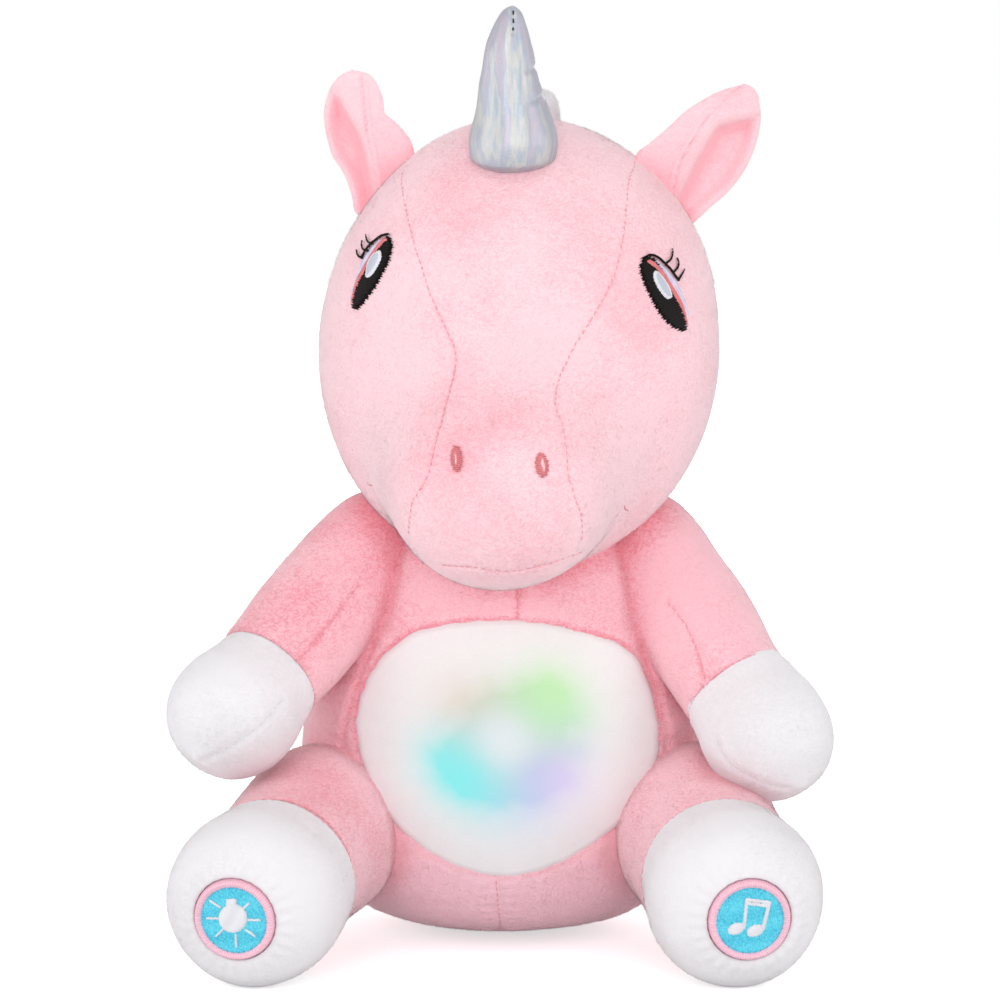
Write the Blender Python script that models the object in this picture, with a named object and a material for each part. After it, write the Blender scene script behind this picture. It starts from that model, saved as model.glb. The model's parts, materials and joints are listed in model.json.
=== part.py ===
"""Seated unicorn night light: a stuffed body, a light unit behind the belly, press buttons in the soles.

The toy sits at the origin and faces -Y, with +Z up. All lengths are in metres.
"""

import math

import bmesh
import bpy
from mathutils import Matrix, Vector

# Clearances
GAP = 0.0003
SOFT_GAP = 0.0005
SEAT_CUT = 0.0005
OVERRUN = 0.008
POCKET_CLEARANCE = 0.0006

# Torso
TORSO_HEIGHT = 0.158
TORSO_WIDTH = 0.134
TORSO_DEPTH = 0.124
TORSO_LEAN = 0.004
TORSO_PROFILE_SHARES = (
    (0.0, 0.0), (0.01, 0.25), (0.04, 0.58), (0.095, 0.79), (0.19, 0.94), (0.34, 1.0), (0.5, 0.97),
    (0.66, 0.87), (0.81, 0.72), (0.94, 0.45), (1.0, 0.0),
)

# Head, in its own frame with its centre at the origin
HEAD_WIDTH = 0.130
HEAD_DEPTH = 0.124
HEAD_HEIGHT = 0.150
HEAD_ASIDE = 0.0065
HEAD_FORWARD = 0.020
HEAD_CENTRE_HEIGHT = 0.193
HEAD_ROLL = 3.8
HEAD_YAW = -4.5
MUZZLE_WIDTH = 0.072
MUZZLE_LENGTH = 0.078
MUZZLE_HEIGHT = 0.070
MUZZLE_FORWARD = 0.054
MUZZLE_DROP = 0.037
MUZZLE_BLEND = 0.022
NOSE_AXIS_ANGLE = -28
NOSE_CROWDING = 1.25
NECK_PIVOT_HEIGHT = 0.105
NECK_PIVOT_FORWARD = 0.003
NOD_RANGE = 6

# Horn, ears, mane and tail
HORN_LENGTH = 0.057
HORN_RADIUS = 0.0145
HORN_ROOT_DEPTH = 0.008
HORN_PLACE_ANGLE = 24
HORN_LEAN_ANGLE = 12
HORN_ASIDE = -0.0045
HORN_PLEATS = 9
HORN_PLEAT_DEPTH = 0.0009
HORN_PROFILE_SHARES = (
    (0.0, 0.0), (0.01, 1.02), (0.14, 1.0), (0.4, 0.78), (0.7, 0.56), (0.92, 0.28), (1.0, 0.0),
)
EAR_LENGTH_LEFT = 0.050
EAR_LENGTH_RIGHT = 0.0545
EAR_WIDTH = 0.030
EAR_THICKNESS = 0.0065
EAR_CUP_DEPTH = 0.007
EAR_ROOT_DEPTH = 0.011
EAR_SPREAD_ANGLE = 40
EAR_SET_BACK_ANGLE = 6
EAR_LEAN_LEFT = 27
EAR_LEAN_RIGHT = 37
EAR_TURN_ANGLE = 18
EAR_PROFILE_SHARES = (
    (0.0, 0.0), (0.01, 0.66), (0.18, 0.84), (0.42, 1.0), (0.66, 0.92), (0.88, 0.55), (1.0, 0.0),
)
MANE_HALF_WIDTH = 0.0085
MANE_THICKNESS = 0.021
MANE_START_ANGLE = -4
MANE_END_ANGLE = 118
MANE_PROFILE_SHARES = (
    (0.0, 0.0), (0.01, 0.5), (0.06, 0.9), (0.2, 1.0), (0.5, 0.96), (0.8, 0.95), (0.95, 0.6), (1.0, 0.0),
)
TAIL_RADIUS = 0.009
TAIL_LENGTH = 0.046
TAIL_ROOT_DEPTH = 0.010
TAIL_HEIGHT = 0.0155
TAIL_DROP = 0.004
TAIL_PROFILE_SHARES = (
    (0.0, 0.0), (0.02, 0.6), (0.2, 0.85), (0.5, 1.0), (0.8, 0.8), (1.0, 0.0),
)

# Arms, from the rounded root inside the shoulder to the hoof's tip
ARM_LENGTH = 0.127
ARM_RADIUS = 0.021
ARM_ROOT_SHARE = 0.15
CUFF_SHARE = 0.67
ARM_PROFILE_SHARES = (
    (0.0, 0.0), (0.03, 0.42), (0.12, 0.82), (0.28, 0.95), (0.48, 0.94), (0.67, 0.87), (0.78, 1.0),
    (0.88, 0.96), (0.96, 0.62), (1.0, 0.0),
)
SHOULDER_FORWARD = 0.008
SHOULDER_HEIGHT = 0.130
SHOULDER_ASIDE_LEFT = 0.0376
SHOULDER_ASIDE_RIGHT = 0.0445
ARM_HEADING_LEFT = 43.7
ARM_HEADING_RIGHT = 41.4
ARM_DROOP_LEFT = 36.4
ARM_DROOP_RIGHT = 43.2
ARM_SWING = 35

# Legs, from the rounded root inside the hip to the sole
LEG_LENGTH = 0.134
LEG_RADIUS = 0.028
FOOT_SHARE = 0.835
SOLE_CUFF_SHARE = 0.67
LEG_PROFILE_SHARES = (
    (0.0, 0.0), (0.03, 0.45), (0.12, 0.83), (0.3, 0.97), (0.5, 0.93), (0.67, 0.92), (0.82, 1.0),
    (0.92, 0.9), (0.975, 0.66), (0.994, 0.45), (1.0, 0.0),
)
FOOT_ASIDE_LEFT = 0.0766
FOOT_ASIDE_RIGHT = 0.0738
FOOT_FORWARD = 0.105
LEG_HEADING_LEFT = 16
LEG_HEADING_RIGHT = 10
LEG_DROOP = 9

# Embroidered eyes and nostrils
STITCH_THICKNESS = 0.0008
EYE_LENGTH = 0.027
EYE_WIDTH = 0.017
EYE_ASIDE_ANGLE = 51
EYE_RAISED_ANGLE = 21.5
EYE_TILT_ANGLE = 18
EYE_OUTLINE_SHARES = (
    (0.5, 0.06), (0.4, 0.3), (0.2, 0.47), (-0.05, 0.52), (-0.3, 0.42), (-0.46, 0.18), (-0.5, -0.06),
    (-0.38, -0.27), (-0.15, -0.42), (0.12, -0.46), (0.34, -0.32),
)
NOSTRIL_LENGTH = 0.0085
NOSTRIL_WIDTH = 0.0042
NOSTRIL_ASIDE_LEFT = 7.4
NOSTRIL_ASIDE_RIGHT = 9.6
NOSTRIL_RAISED_ANGLE = -17.8

# Belly window
WINDOW_WIDTH = 0.098
WINDOW_HEIGHT = 0.083
WINDOW_ASIDE = 0.002
WINDOW_CENTRE_HEIGHT = 0.068
WINDOW_THICKNESS = 0.003

# Light unit behind the belly window
LIGHT_RADIUS = 0.030
LIGHT_DEPTH = 0.026
LIGHT_WALL = 0.002
LIGHT_ASIDE = 0.0016
LIGHT_CENTRE_HEIGHT = 0.070
LENS_CLEARANCE = 0.0022
LENS_RISE = 0.0065
LENS_WALL = 0.0018
POST_LENGTH = 0.012
POST_RADIUS = 0.0026
POST_CIRCLE_RADIUS = 0.020
POST_ANGLES = (30, 150, 270)
BOARD_THICKNESS = 0.0016
LED_RADIUS = 0.0025
LED_HEIGHT = 0.0052
LED_SPREAD = 0.0125
LIGHT_LEAD_RISE = 0.018

# Screws
SCREW_HEAD_RADIUS = 0.0021
SCREW_HEAD_HEIGHT = 0.0012
SCREW_SHANK_RADIUS = 0.0009
SCREW_SHANK_LENGTH = 0.006

# Sound box
CASE_WALL = 0.002
CASE_CORNER = 0.004
CASE_BOTTOM = 0.030
FLAP_ROOM = 0.0111
CELL_RADIUS = 0.00725
CELL_LENGTH = 0.0505
CELL_NUB_RADIUS = 0.0027
CELL_NUB_LENGTH = 0.0012
CELL_SPACING = 0.0012
CELL_COUNT = 3
COIL_LENGTH = 0.0040
COIL_RADIUS = 0.0036
COIL_WIRE = 0.00045
COIL_TURNS = 3
PLATE_THICKNESS = 0.0005
PLATE_WIDTH = 0.009
DOOR_THICKNESS = 0.0016
DOOR_SCREW_ROOM = 0.0075
SWITCH_BAY_HEIGHT = 0.008
SWITCH_BODY_WIDTH = 0.015
SWITCH_BODY_DEPTH = 0.005
SWITCH_BODY_HEIGHT = 0.0065
KNOB_WIDTH = 0.004
KNOB_HEIGHT = 0.003
KNOB_PROUD = 0.001
SWITCH_TRAVEL = 0.004
SPEAKER_RADIUS = 0.016
SPEAKER_DEPTH = 0.0065
SPEAKER_RIM = 0.0025
SPEAKER_MAGNET_RADIUS = 0.009
SPEAKER_DISH = 0.0018
GRILLE_HOLE_RADIUS = 0.0015
GRILLE_CIRCLE_RADIUS = 0.008
GRILLE_HOLES = 6
BOARD_ROOM = 0.003
CHIP_WIDTH = 0.010
CHIP_HEIGHT = 0.0014
CORNER_POST = 0.0062

# Leads
LEAD_RADIUS = 0.0012
LEAD_CLEARANCE = 0.0007
LEAD_CASE_ASIDE = 0.015
LEAD_LOW_ASIDE = 0.034
LEAD_LOW_BACK = 0.004
LEAD_LOW_HEIGHT = 0.021
LEAD_RISE_HEIGHT = 0.016

# Back flap
FLAP_WIDTH = 0.058
FLAP_THICKNESS = 0.0024
FLAP_LEDGE = 0.008
FLAP_SWING = 110
PAD_SWING_ROOM = 0.0018
STRIP_THICKNESS = 0.0007
STRIP_WIDTH = 0.044
STRIP_HEIGHT = 0.006

# Foot buttons, measured in from the sole
BADGE_RADIUS = 0.0133
BADGE_THICKNESS = 0.0014
BADGE_PROUD = 0.0004
BADGE_RING_WIDTH = 0.0024
BADGE_RING_RISE = 0.0004
BUTTON_TRAVEL = 0.0025
CAP_RADIUS = 0.0126
CAP_THICKNESS = 0.0025
STEM_RADIUS = 0.0035
CUP_RADIUS = 0.0152
CUP_WALL = 0.0015
CUP_DEPTH = 0.014
CUP_RIM_DEPTH = 0.0042
CUP_COVER = 0.0006
FOOT_BOARD_THICKNESS = 0.0012
TACT_RADIUS = 0.003
TACT_HEIGHT = 0.0025
SPRING_RADIUS = 0.006
SPRING_WIRE = 0.0005
SPRING_TURNS = 3

# Counts of sides and steps
FORM_STEPS = 2
TORSO_SIDES = 24
LIMB_SIDES = 16
HEAD_SIDES = 24
HEAD_RINGS = 16
SMALL_SIDES = 10
ROUND_SIDES = 24
WIRE_SIDES = 5
COIL_STEPS = 6
BORE_TWIST = 13
TOOL_NUDGE = 0.02

# Finishes: base colour, roughness, metallic
FINISHES = {
    "head_plush": ((0.955, 0.60, 0.66), 0.95, 0.0),
    "body_plush": ((0.93, 0.45, 0.53), 0.95, 0.0),
    "ear_plush": ((0.95, 0.55, 0.60), 0.9, 0.0),
    "white_plush": ((0.90, 0.90, 0.90), 0.95, 0.0),
    "window_cloth": ((0.92, 0.93, 0.92), 0.8, 0.0),
    "horn_cloth": ((0.66, 0.68, 0.72), 0.3, 0.8),
    "eye_thread": ((0.02, 0.015, 0.015), 0.5, 0.0),
    "nostril_thread": ((0.75, 0.24, 0.28), 0.6, 0.0),
    "badge_thread": ((0.07, 0.46, 0.62), 0.6, 0.0),
    "white_plastic": ((0.85, 0.85, 0.84), 0.4, 0.0),
    "black_plastic": ((0.03, 0.03, 0.035), 0.4, 0.0),
    "lens_plastic": ((0.88, 0.9, 0.92), 0.25, 0.0),
    "board_green": ((0.03, 0.22, 0.10), 0.5, 0.0),
    "led_white": ((1.0, 1.0, 0.96), 0.2, 0.0),
    "led_green": ((0.35, 0.95, 0.25), 0.2, 0.0),
    "led_cyan": ((0.05, 0.85, 0.90), 0.2, 0.0),
    "led_violet": ((0.62, 0.35, 0.95), 0.2, 0.0),
    "led_peach": ((1.0, 0.62, 0.42), 0.2, 0.0),
    "steel": ((0.62, 0.62, 0.64), 0.3, 1.0),
    "cell_wrap": ((0.12, 0.13, 0.15), 0.35, 0.2),
    "speaker_paper": ((0.05, 0.05, 0.055), 0.7, 0.0),
    "lead_rubber": ((0.72, 0.72, 0.72), 0.6, 0.0),
    "foam": ((0.80, 0.78, 0.72), 1.0, 0.0),
    "strip_nylon": ((0.86, 0.86, 0.86), 0.9, 0.0),
}


def clear_scene():
    """Empties the scene of objects."""
    for item in list(bpy.data.objects):
        bpy.data.objects.remove(item)


def finish_material(name):
    """The material of one finish, made the first time that it is asked for."""
    made = bpy.data.materials.get(name)
    if made:
        return made
    colour, roughness, metallic = FINISHES[name]
    made = bpy.data.materials.new(name)
    made.use_nodes = True
    shader = made.node_tree.nodes["Principled BSDF"]
    shader.inputs["Base Color"].default_value = (*colour, 1.0)
    shader.inputs["Roughness"].default_value = roughness
    shader.inputs["Metallic"].default_value = metallic
    made.diffuse_color = (*colour, 1.0)
    return made


def dress(item, finish, sharp_angle=40):
    """Gives a piece its only material and smooth round faces."""
    item.data.materials.clear()
    item.data.materials.append(finish_material(finish))
    item.data.shade_smooth()
    item.data.set_sharp_from_angle(angle=math.radians(sharp_angle))
    return item


def mesh_object(name, bm):
    """An object made from a closed bmesh, with triangles that face out."""
    bmesh.ops.recalc_face_normals(bm, faces=bm.faces)
    bmesh.ops.triangulate(bm, faces=bm.faces)
    mesh = bpy.data.meshes.new(name)
    bm.to_mesh(mesh)
    bm.free()
    item = bpy.data.objects.new(name, mesh)
    bpy.context.scene.collection.objects.link(item)
    return item


def skin_over(name, rings, start, end):
    """A closed skin over rings of points, with one point at each end."""
    bm = bmesh.new()
    loops = [[bm.verts.new(point) for point in ring] for ring in rings]
    for loop, following in zip(loops, loops[1:]):
        for i, corner in enumerate(loop):
            j = (i + 1) % len(loop)
            bm.faces.new((corner, loop[j], following[j], following[i]))
    for loop, tip in ((loops[0], bm.verts.new(start)), (loops[-1], bm.verts.new(end))):
        for i, corner in enumerate(loop):
            bm.faces.new((corner, loop[(i + 1) % len(loop)], tip))
    return mesh_object(name, bm)


def is_closed(mesh):
    """Whether a mesh has faces and each of its edges joins two of them."""
    uses = {}
    for face in mesh.polygons:
        for key in face.edge_keys:
            uses[key] = uses.get(key, 0) + 1
    return bool(uses) and all(count == 2 for count in uses.values())


def carve(target, tool, operation="DIFFERENCE", keep_tool=False):
    """Cuts the tool out of the target, or joins or crosses the two.

    Where the two only touch, the tool is turned by a hair until the result is closed.
    """
    modifier = target.modifiers.new("carve", "BOOLEAN")
    modifier.operation = operation
    modifier.object = tool
    nudge = Matrix.Rotation(math.radians(TOOL_NUDGE), 4, (1, 1, 1))
    for _ in range(4):
        bpy.context.view_layer.update()
        depsgraph = bpy.context.evaluated_depsgraph_get()
        mesh = bpy.data.meshes.new_from_object(target.evaluated_get(depsgraph))
        if is_closed(mesh):
            break
        tool.matrix_world = nudge @ tool.matrix_world
    target.modifiers.clear()
    target.data = mesh
    if not keep_tool:
        bpy.data.objects.remove(tool)
    return target


def smooth_points(points, steps):
    """Points of a smooth curve through the given ones, with the same steps in each span."""
    knots = [Vector(point) for point in points]
    knots = [2 * knots[0] - knots[1]] + knots + [2 * knots[-1] - knots[-2]]
    curve = []
    for a, b, c, d in zip(knots, knots[1:], knots[2:], knots[3:]):
        for step in range(steps):
            t = step / steps
            square = (2 * a - 5 * b + 4 * c - d) * t ** 2
            cube = (3 * b - a - 3 * c + d) * t ** 3
            curve.append((2 * b + (c - a) * t + square + cube) / 2)
    curve.append(knots[-2])
    return curve


def scaled_outline(shares, length, radius):
    """A form's outline as (along, radius) points, from shares of its length and radius."""
    points = [(along * length, out * radius) for along, out in shares]
    outline = smooth_points(points, FORM_STEPS)
    for point in outline[1:-1]:
        point.y = max(point.y, GAP)
    return outline


def grown(outline, grow):
    """An outline moved outward by a distance, with its ends still on the axis."""
    if not grow:
        return outline
    before = [Vector((outline[1].x, -outline[1].y))] + outline[:-1]
    after = outline[1:] + [Vector((outline[-2].x, -outline[-2].y))]
    moved = []
    for back, point, ahead in zip(before, outline, after):
        run = (ahead - back).normalized()
        moved.append(point + grow * Vector((-run.y, run.x)))
    moved[0].y = 0
    moved[-1].y = 0
    return moved


def radius_at(outline, along):
    """The radius of an outline at a place along it."""
    for low, high in zip(outline, outline[1:]):
        if low.x <= along <= high.x and high.x > low.x:
            return low.y + (high.y - low.y) * (along - low.x) / (high.x - low.x)
    return 0.0


def part_of(outline, start, stop):
    """The stretch of an outline between two places, closed flat at each cut."""
    inside = [point for point in outline if start < point.x < stop]
    if start > outline[0].x:
        inside = [Vector((start, 0)), Vector((start, radius_at(outline, start)))] + inside
    else:
        inside = [outline[0]] + inside
    if stop < outline[-1].x:
        inside = inside + [Vector((stop, radius_at(outline, stop))), Vector((stop, 0))]
    else:
        inside = inside + [outline[-1]]
    return inside


def spun(name, outline, sides, place):
    """A closed form: each outline point becomes a ring that the place function lays out."""
    angles = [math.tau * i / sides for i in range(sides)]
    rings = [[place(point.x, point.y, angle) for angle in angles] for point in outline[1:-1]]
    start = place(outline[0].x, 0, 0)
    end = place(outline[-1].x, 0, 0)
    return skin_over(name, rings, start, end)


def frame_at(origin, axis, side=(1, 0, 0)):
    """A frame whose Z runs along an axis and whose X lies as near as it can to a side."""
    z = Vector(axis).normalized()
    y = z.cross(Vector(side)).normalized()
    x = y.cross(z)
    turned_axes = Matrix((x, y, z)).transposed()
    return Matrix.Translation(Vector(origin)) @ turned_axes.to_4x4()


def turned(name, profile, frame, sides=ROUND_SIDES):
    """A solid turned about a frame's Z from an open profile of (along, radius) points."""
    outline = [Vector(point) for point in profile]

    def place(along, radius, angle):
        return frame @ Vector((radius * math.cos(angle), radius * math.sin(angle), along))

    return spun(name, outline, sides, place)


def rod(name, frame, start, stop, radius, sides=ROUND_SIDES):
    """A plain round bar between two places on a frame's Z."""
    return turned(name, ((start, 0), (start, radius), (stop, radius), (stop, 0)), frame, sides)


def block(name, low, high, corner=0.0):
    """A box between two corners, with its edges along Y rounded."""
    bm = bmesh.new()
    bmesh.ops.create_cube(bm, size=1.0)
    low = Vector(low)
    high = Vector(high)
    size = high - low
    middle = (low + high) / 2
    for vert in bm.verts:
        vert.co = Vector(a * b for a, b in zip(vert.co, size)) + middle
    if corner:
        along_y = [edge for edge in bm.edges if abs(edge.verts[0].co.y - edge.verts[1].co.y) > size.y / 2]
        bmesh.ops.bevel(bm, geom=along_y, offset=corner, segments=3, affect="EDGES", profile=0.5)
    return mesh_object(name, bm)


def tube(name, points, radius, sides=WIRE_SIDES):
    """A round wire along a list of points, closed flat at both ends."""
    points = [Vector(point) for point in points]
    rings = []
    side = Vector((0, 0, 1)).cross(points[1] - points[0])
    side = side if side.length else Vector((1, 0, 0))
    for i, point in enumerate(points):
        run = (points[min(i + 1, len(points) - 1)] - points[max(i - 1, 0)]).normalized()
        side = (side - run * side.dot(run)).normalized()
        across = run.cross(side)
        angles = [math.tau * k / sides for k in range(sides)]
        rings.append([point + radius * (side * math.cos(a) + across * math.sin(a)) for a in angles])
    return skin_over(name, rings, points[0], points[-1])


def hang(items, pivot_name, place):
    """Hangs moving pieces on an empty at their joint."""
    pivot = bpy.data.objects.new(pivot_name, None)
    pivot.location = place
    pivot.empty_display_size = GAP
    bpy.context.scene.collection.objects.link(pivot)
    for item in items:
        item.parent = pivot
        item.matrix_parent_inverse = Matrix.Translation(-Vector(place))


# Torso

TORSO_OUTLINE = scaled_outline(TORSO_PROFILE_SHARES, TORSO_HEIGHT, TORSO_WIDTH / 2)


def torso_form(name, grow=0.0):
    """The torso's outer form, moved out or in by a distance."""
    depth_ratio = TORSO_DEPTH / TORSO_WIDTH

    def place(along, radius, angle):
        x = TORSO_LEAN * along / TORSO_HEIGHT + radius * math.cos(angle)
        return Vector((x, depth_ratio * radius * math.sin(angle), along - SEAT_CUT))

    return spun(name, grown(TORSO_OUTLINE, grow), TORSO_SIDES, place)


def torso_back(height):
    """How far back the torso's surface lies at a height."""
    return radius_at(TORSO_OUTLINE, height + SEAT_CUT) * TORSO_DEPTH / TORSO_WIDTH


def oval_prism(name, width, height, aside, centre_height, front, back):
    """An upright oval seen from the front, run through from one depth to another."""
    centre = Vector((aside, front, centre_height))
    frame = frame_at(centre, (0, 1, 0))

    def place(along, radius, angle):
        across = radius * width / 2 * math.cos(angle)
        up = radius * height / 2 * math.sin(angle)
        return frame @ Vector((across, up, along))

    run = back - front
    outline = [Vector((0, 0)), Vector((0, 1)), Vector((run, 1)), Vector((run, 0))]
    return spun(name, outline, ROUND_SIDES, place)


# Limbs

def heading_vector(side, heading, droop):
    """A unit vector forward, turned out to one side and down."""
    flat = math.cos(math.radians(droop))
    turn = math.radians(heading)
    return Vector((side * flat * math.sin(turn), -flat * math.cos(turn), -math.sin(math.radians(droop))))


def limb_form(name, outline, frame):
    """A stuffed limb about a frame's Z."""
    return turned(name, outline, frame, LIMB_SIDES)


ARM_OUTLINE = scaled_outline(ARM_PROFILE_SHARES, ARM_LENGTH, ARM_RADIUS)
LEG_OUTLINE = scaled_outline(LEG_PROFILE_SHARES, LEG_LENGTH, LEG_RADIUS)


def shoulder_place(side):
    """The point that an arm swings about."""
    aside = SHOULDER_ASIDE_LEFT if side < 0 else SHOULDER_ASIDE_RIGHT
    return Vector((side * aside, -SHOULDER_FORWARD, SHOULDER_HEIGHT))


def arm_frame(side):
    """An arm's frame, with the root at its origin and the hoof along +Z."""
    heading = ARM_HEADING_LEFT if side < 0 else ARM_HEADING_RIGHT
    droop = ARM_DROOP_LEFT if side < 0 else ARM_DROOP_RIGHT
    run = heading_vector(side, heading, droop)
    return frame_at(shoulder_place(side) - run * ARM_LENGTH * ARM_ROOT_SHARE, run)


def leg_frame(side):
    """A leg's frame, with the root at its origin and the sole along +Z, its foot on the floor."""
    heading = LEG_HEADING_LEFT if side < 0 else LEG_HEADING_RIGHT
    run = heading_vector(side, heading, LEG_DROOP)
    aside = FOOT_ASIDE_LEFT if side < 0 else FOOT_ASIDE_RIGHT
    ankle = FOOT_SHARE * LEG_LENGTH
    tilt = math.radians(LEG_DROOP)
    reach = max(p.y * math.cos(tilt) + (p.x - ankle) * math.sin(tilt) for p in LEG_OUTLINE)
    foot = Vector((side * aside, -FOOT_FORWARD, reach - SEAT_CUT))
    return frame_at(foot - run * ankle, run)


# Head

def head_frame():
    """The head's frame at its centre, rolled and turned as it sits."""
    centre = Matrix.Translation((HEAD_ASIDE, -HEAD_FORWARD, HEAD_CENTRE_HEIGHT))
    yaw = Matrix.Rotation(math.radians(HEAD_YAW), 4, "Z")
    roll = Matrix.Rotation(math.radians(HEAD_ROLL), 4, "Y")
    return centre @ yaw @ roll


def lobe_distance(point, centre, size):
    """About how far a point lies outside an ellipsoid, below zero inside."""
    radii = [length / 2 for length in size]
    scaled = Vector((a - b) / c for a, b, c in zip(point, centre, radii))
    return (scaled.length - 1) * min(radii)


def head_field(point):
    """About how far a point of the head's frame lies outside the skull and muzzle, blended."""
    skull = lobe_distance(point, (0, 0, 0), (HEAD_WIDTH, HEAD_DEPTH, HEAD_HEIGHT))
    muzzle_centre = (0, -MUZZLE_FORWARD, -MUZZLE_DROP)
    muzzle = lobe_distance(point, muzzle_centre, (MUZZLE_WIDTH, MUZZLE_LENGTH, MUZZLE_HEIGHT))
    mix = max(0, MUZZLE_BLEND - abs(skull - muzzle)) / MUZZLE_BLEND
    return min(skull, muzzle) - mix * mix * MUZZLE_BLEND / 4


def head_reach(direction):
    """The distance from the head's centre to its surface in a direction of its frame."""
    direction = Vector(direction).normalized()
    low = 0.0
    high = HEAD_DEPTH + MUZZLE_LENGTH
    for _ in range(30):
        middle = (low + high) / 2
        if head_field(direction * middle) < 0:
            low = middle
        else:
            high = middle
    return low


def head_form(name, grow=0.0):
    """The head's outer form, moved out or in by a distance, in rings that are closest at the nose."""
    frame = head_frame()
    nose = frame_at((0, 0, 0), face_direction(0, 0, NOSE_AXIS_ANGLE)).to_3x3()

    def place(polar, turn):
        direction = nose @ Vector((
            math.sin(polar) * math.cos(turn),
            math.sin(polar) * math.sin(turn),
            math.cos(polar),
        ))
        return frame @ (direction * (head_reach(direction) + grow))

    rings = []
    for i in range(1, HEAD_RINGS):
        polar = math.pi * (i / HEAD_RINGS) ** NOSE_CROWDING
        rings.append([place(polar, math.tau * k / HEAD_SIDES) for k in range(HEAD_SIDES)])
    return skin_over(name, rings, place(0, 0), place(math.pi, 0))


def face_direction(side, aside_angle, raised_angle):
    """A direction of the head's frame, turned from straight ahead to one side and up."""
    aside = math.radians(aside_angle)
    raised = math.radians(raised_angle)
    flat = math.cos(raised)
    return Vector((side * flat * math.sin(aside), -flat * math.cos(aside), math.sin(raised)))


def crown_direction(side, spread_angle, back_angle):
    """A direction of the head's frame, tipped from straight up to one side and back."""
    spread = math.radians(spread_angle)
    back = math.radians(back_angle)
    upright = math.cos(spread)
    return Vector((side * math.sin(spread), math.sin(back) * upright, math.cos(back) * upright))


def stitched_patch(name, direction, outline_shares, length, width, tilt_angle):
    """A thin embroidered shape that follows the head's surface round a direction."""
    centre = direction * head_reach(direction)
    patch_frame = head_frame() @ frame_at(centre, direction, Vector((0, 0, 1)).cross(direction))
    patch_frame = patch_frame @ Matrix.Rotation(math.radians(tilt_angle), 4, "Z")
    outline = [patch_frame @ Vector((across * width, along * length, 0)) for along, across in outline_shares]
    out = patch_frame.to_3x3() @ Vector((0, 0, OVERRUN))
    middle = patch_frame.translation
    rings = [[point - out for point in outline], [point + out for point in outline]]
    patch = skin_over(name, rings, middle - out, middle + out)
    carve(patch, head_form("outer_cutter", GAP + STITCH_THICKNESS), "INTERSECT")
    return carve(patch, head_form("inner_cutter", GAP))


def oval_shares(count):
    """An oval outline in shares of its length and width."""
    turns = [math.tau * i / count for i in range(count)]
    return [(math.sin(turn) / 2, math.cos(turn) / 2) for turn in turns]


def make_horn():
    """The horn, a pleated cone sewn to the forehead."""
    forward = math.radians(HORN_PLACE_ANGLE)
    direction = Vector((0, -math.sin(forward), math.cos(forward)))
    foot = head_frame() @ (direction * head_reach(direction)) + Vector((HORN_ASIDE, 0, 0))
    lean = math.radians(HORN_LEAN_ANGLE)
    axis = Vector((0, -math.sin(lean), math.cos(lean)))
    frame = frame_at(foot - axis * HORN_ROOT_DEPTH, axis)

    def place(along, radius, angle):
        pleat = HORN_PLEAT_DEPTH * math.cos(HORN_PLEATS * angle) * min(1, radius / HORN_RADIUS)
        out = max(0, radius + pleat) if radius else 0
        return frame @ Vector((out * math.cos(angle), out * math.sin(angle), along))

    outline = scaled_outline(HORN_PROFILE_SHARES, HORN_LENGTH, HORN_RADIUS)
    horn = spun("horn", outline, 3 * HORN_PLEATS, place)
    return dress(carve(horn, head_form("head_cutter", SOFT_GAP)), "horn_cloth")


def make_ear(side):
    """A cupped ear sewn to the side of the crown."""
    name = "ear_left" if side < 0 else "ear_right"
    direction = crown_direction(side, EAR_SPREAD_ANGLE, EAR_SET_BACK_ANGLE)
    foot = head_frame() @ (direction * head_reach(direction))
    lean = math.radians(EAR_LEAN_LEFT if side < 0 else EAR_LEAN_RIGHT)
    axis = Vector((side * math.sin(lean), 0, math.cos(lean)))
    turn = math.radians(EAR_TURN_ANGLE)
    across = Vector((math.cos(turn), side * math.sin(turn), 0))
    frame = frame_at(foot - axis * EAR_ROOT_DEPTH, axis, across)

    def place(along, radius, angle):
        share = radius / EAR_WIDTH * 2
        wide = radius * math.cos(angle)
        thick = EAR_THICKNESS / 2 * math.sin(angle) * min(1, share * 2)
        cup = EAR_CUP_DEPTH * (share * math.cos(angle)) ** 2
        return frame @ Vector((wide, thick - cup, along))

    length = EAR_LENGTH_LEFT if side < 0 else EAR_LENGTH_RIGHT
    outline = scaled_outline(EAR_PROFILE_SHARES, length, EAR_WIDTH / 2)
    ear = spun(name, outline, LIMB_SIDES, place)
    return dress(carve(ear, head_form("head_cutter", SOFT_GAP)), "ear_plush")


def make_mane():
    """The mane, a padded ridge down the back of the head."""
    frame = head_frame()
    outline = scaled_outline(MANE_PROFILE_SHARES, 1.0, 1.0)
    span = MANE_END_ANGLE - MANE_START_ANGLE

    def place(along, radius, angle):
        back = math.radians(MANE_START_ANGLE + span * along)
        direction = Vector((0, math.sin(back), math.cos(back)))
        lift = MANE_THICKNESS / 2 * radius * math.sin(angle)
        aside = MANE_HALF_WIDTH * radius * math.cos(angle)
        return frame @ (direction * (head_reach(direction) + lift) + Vector((aside, 0, 0)))

    mane = spun("mane", outline, SMALL_SIDES, place)
    return dress(carve(mane, head_form("head_cutter", SOFT_GAP)), "white_plush")


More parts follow.
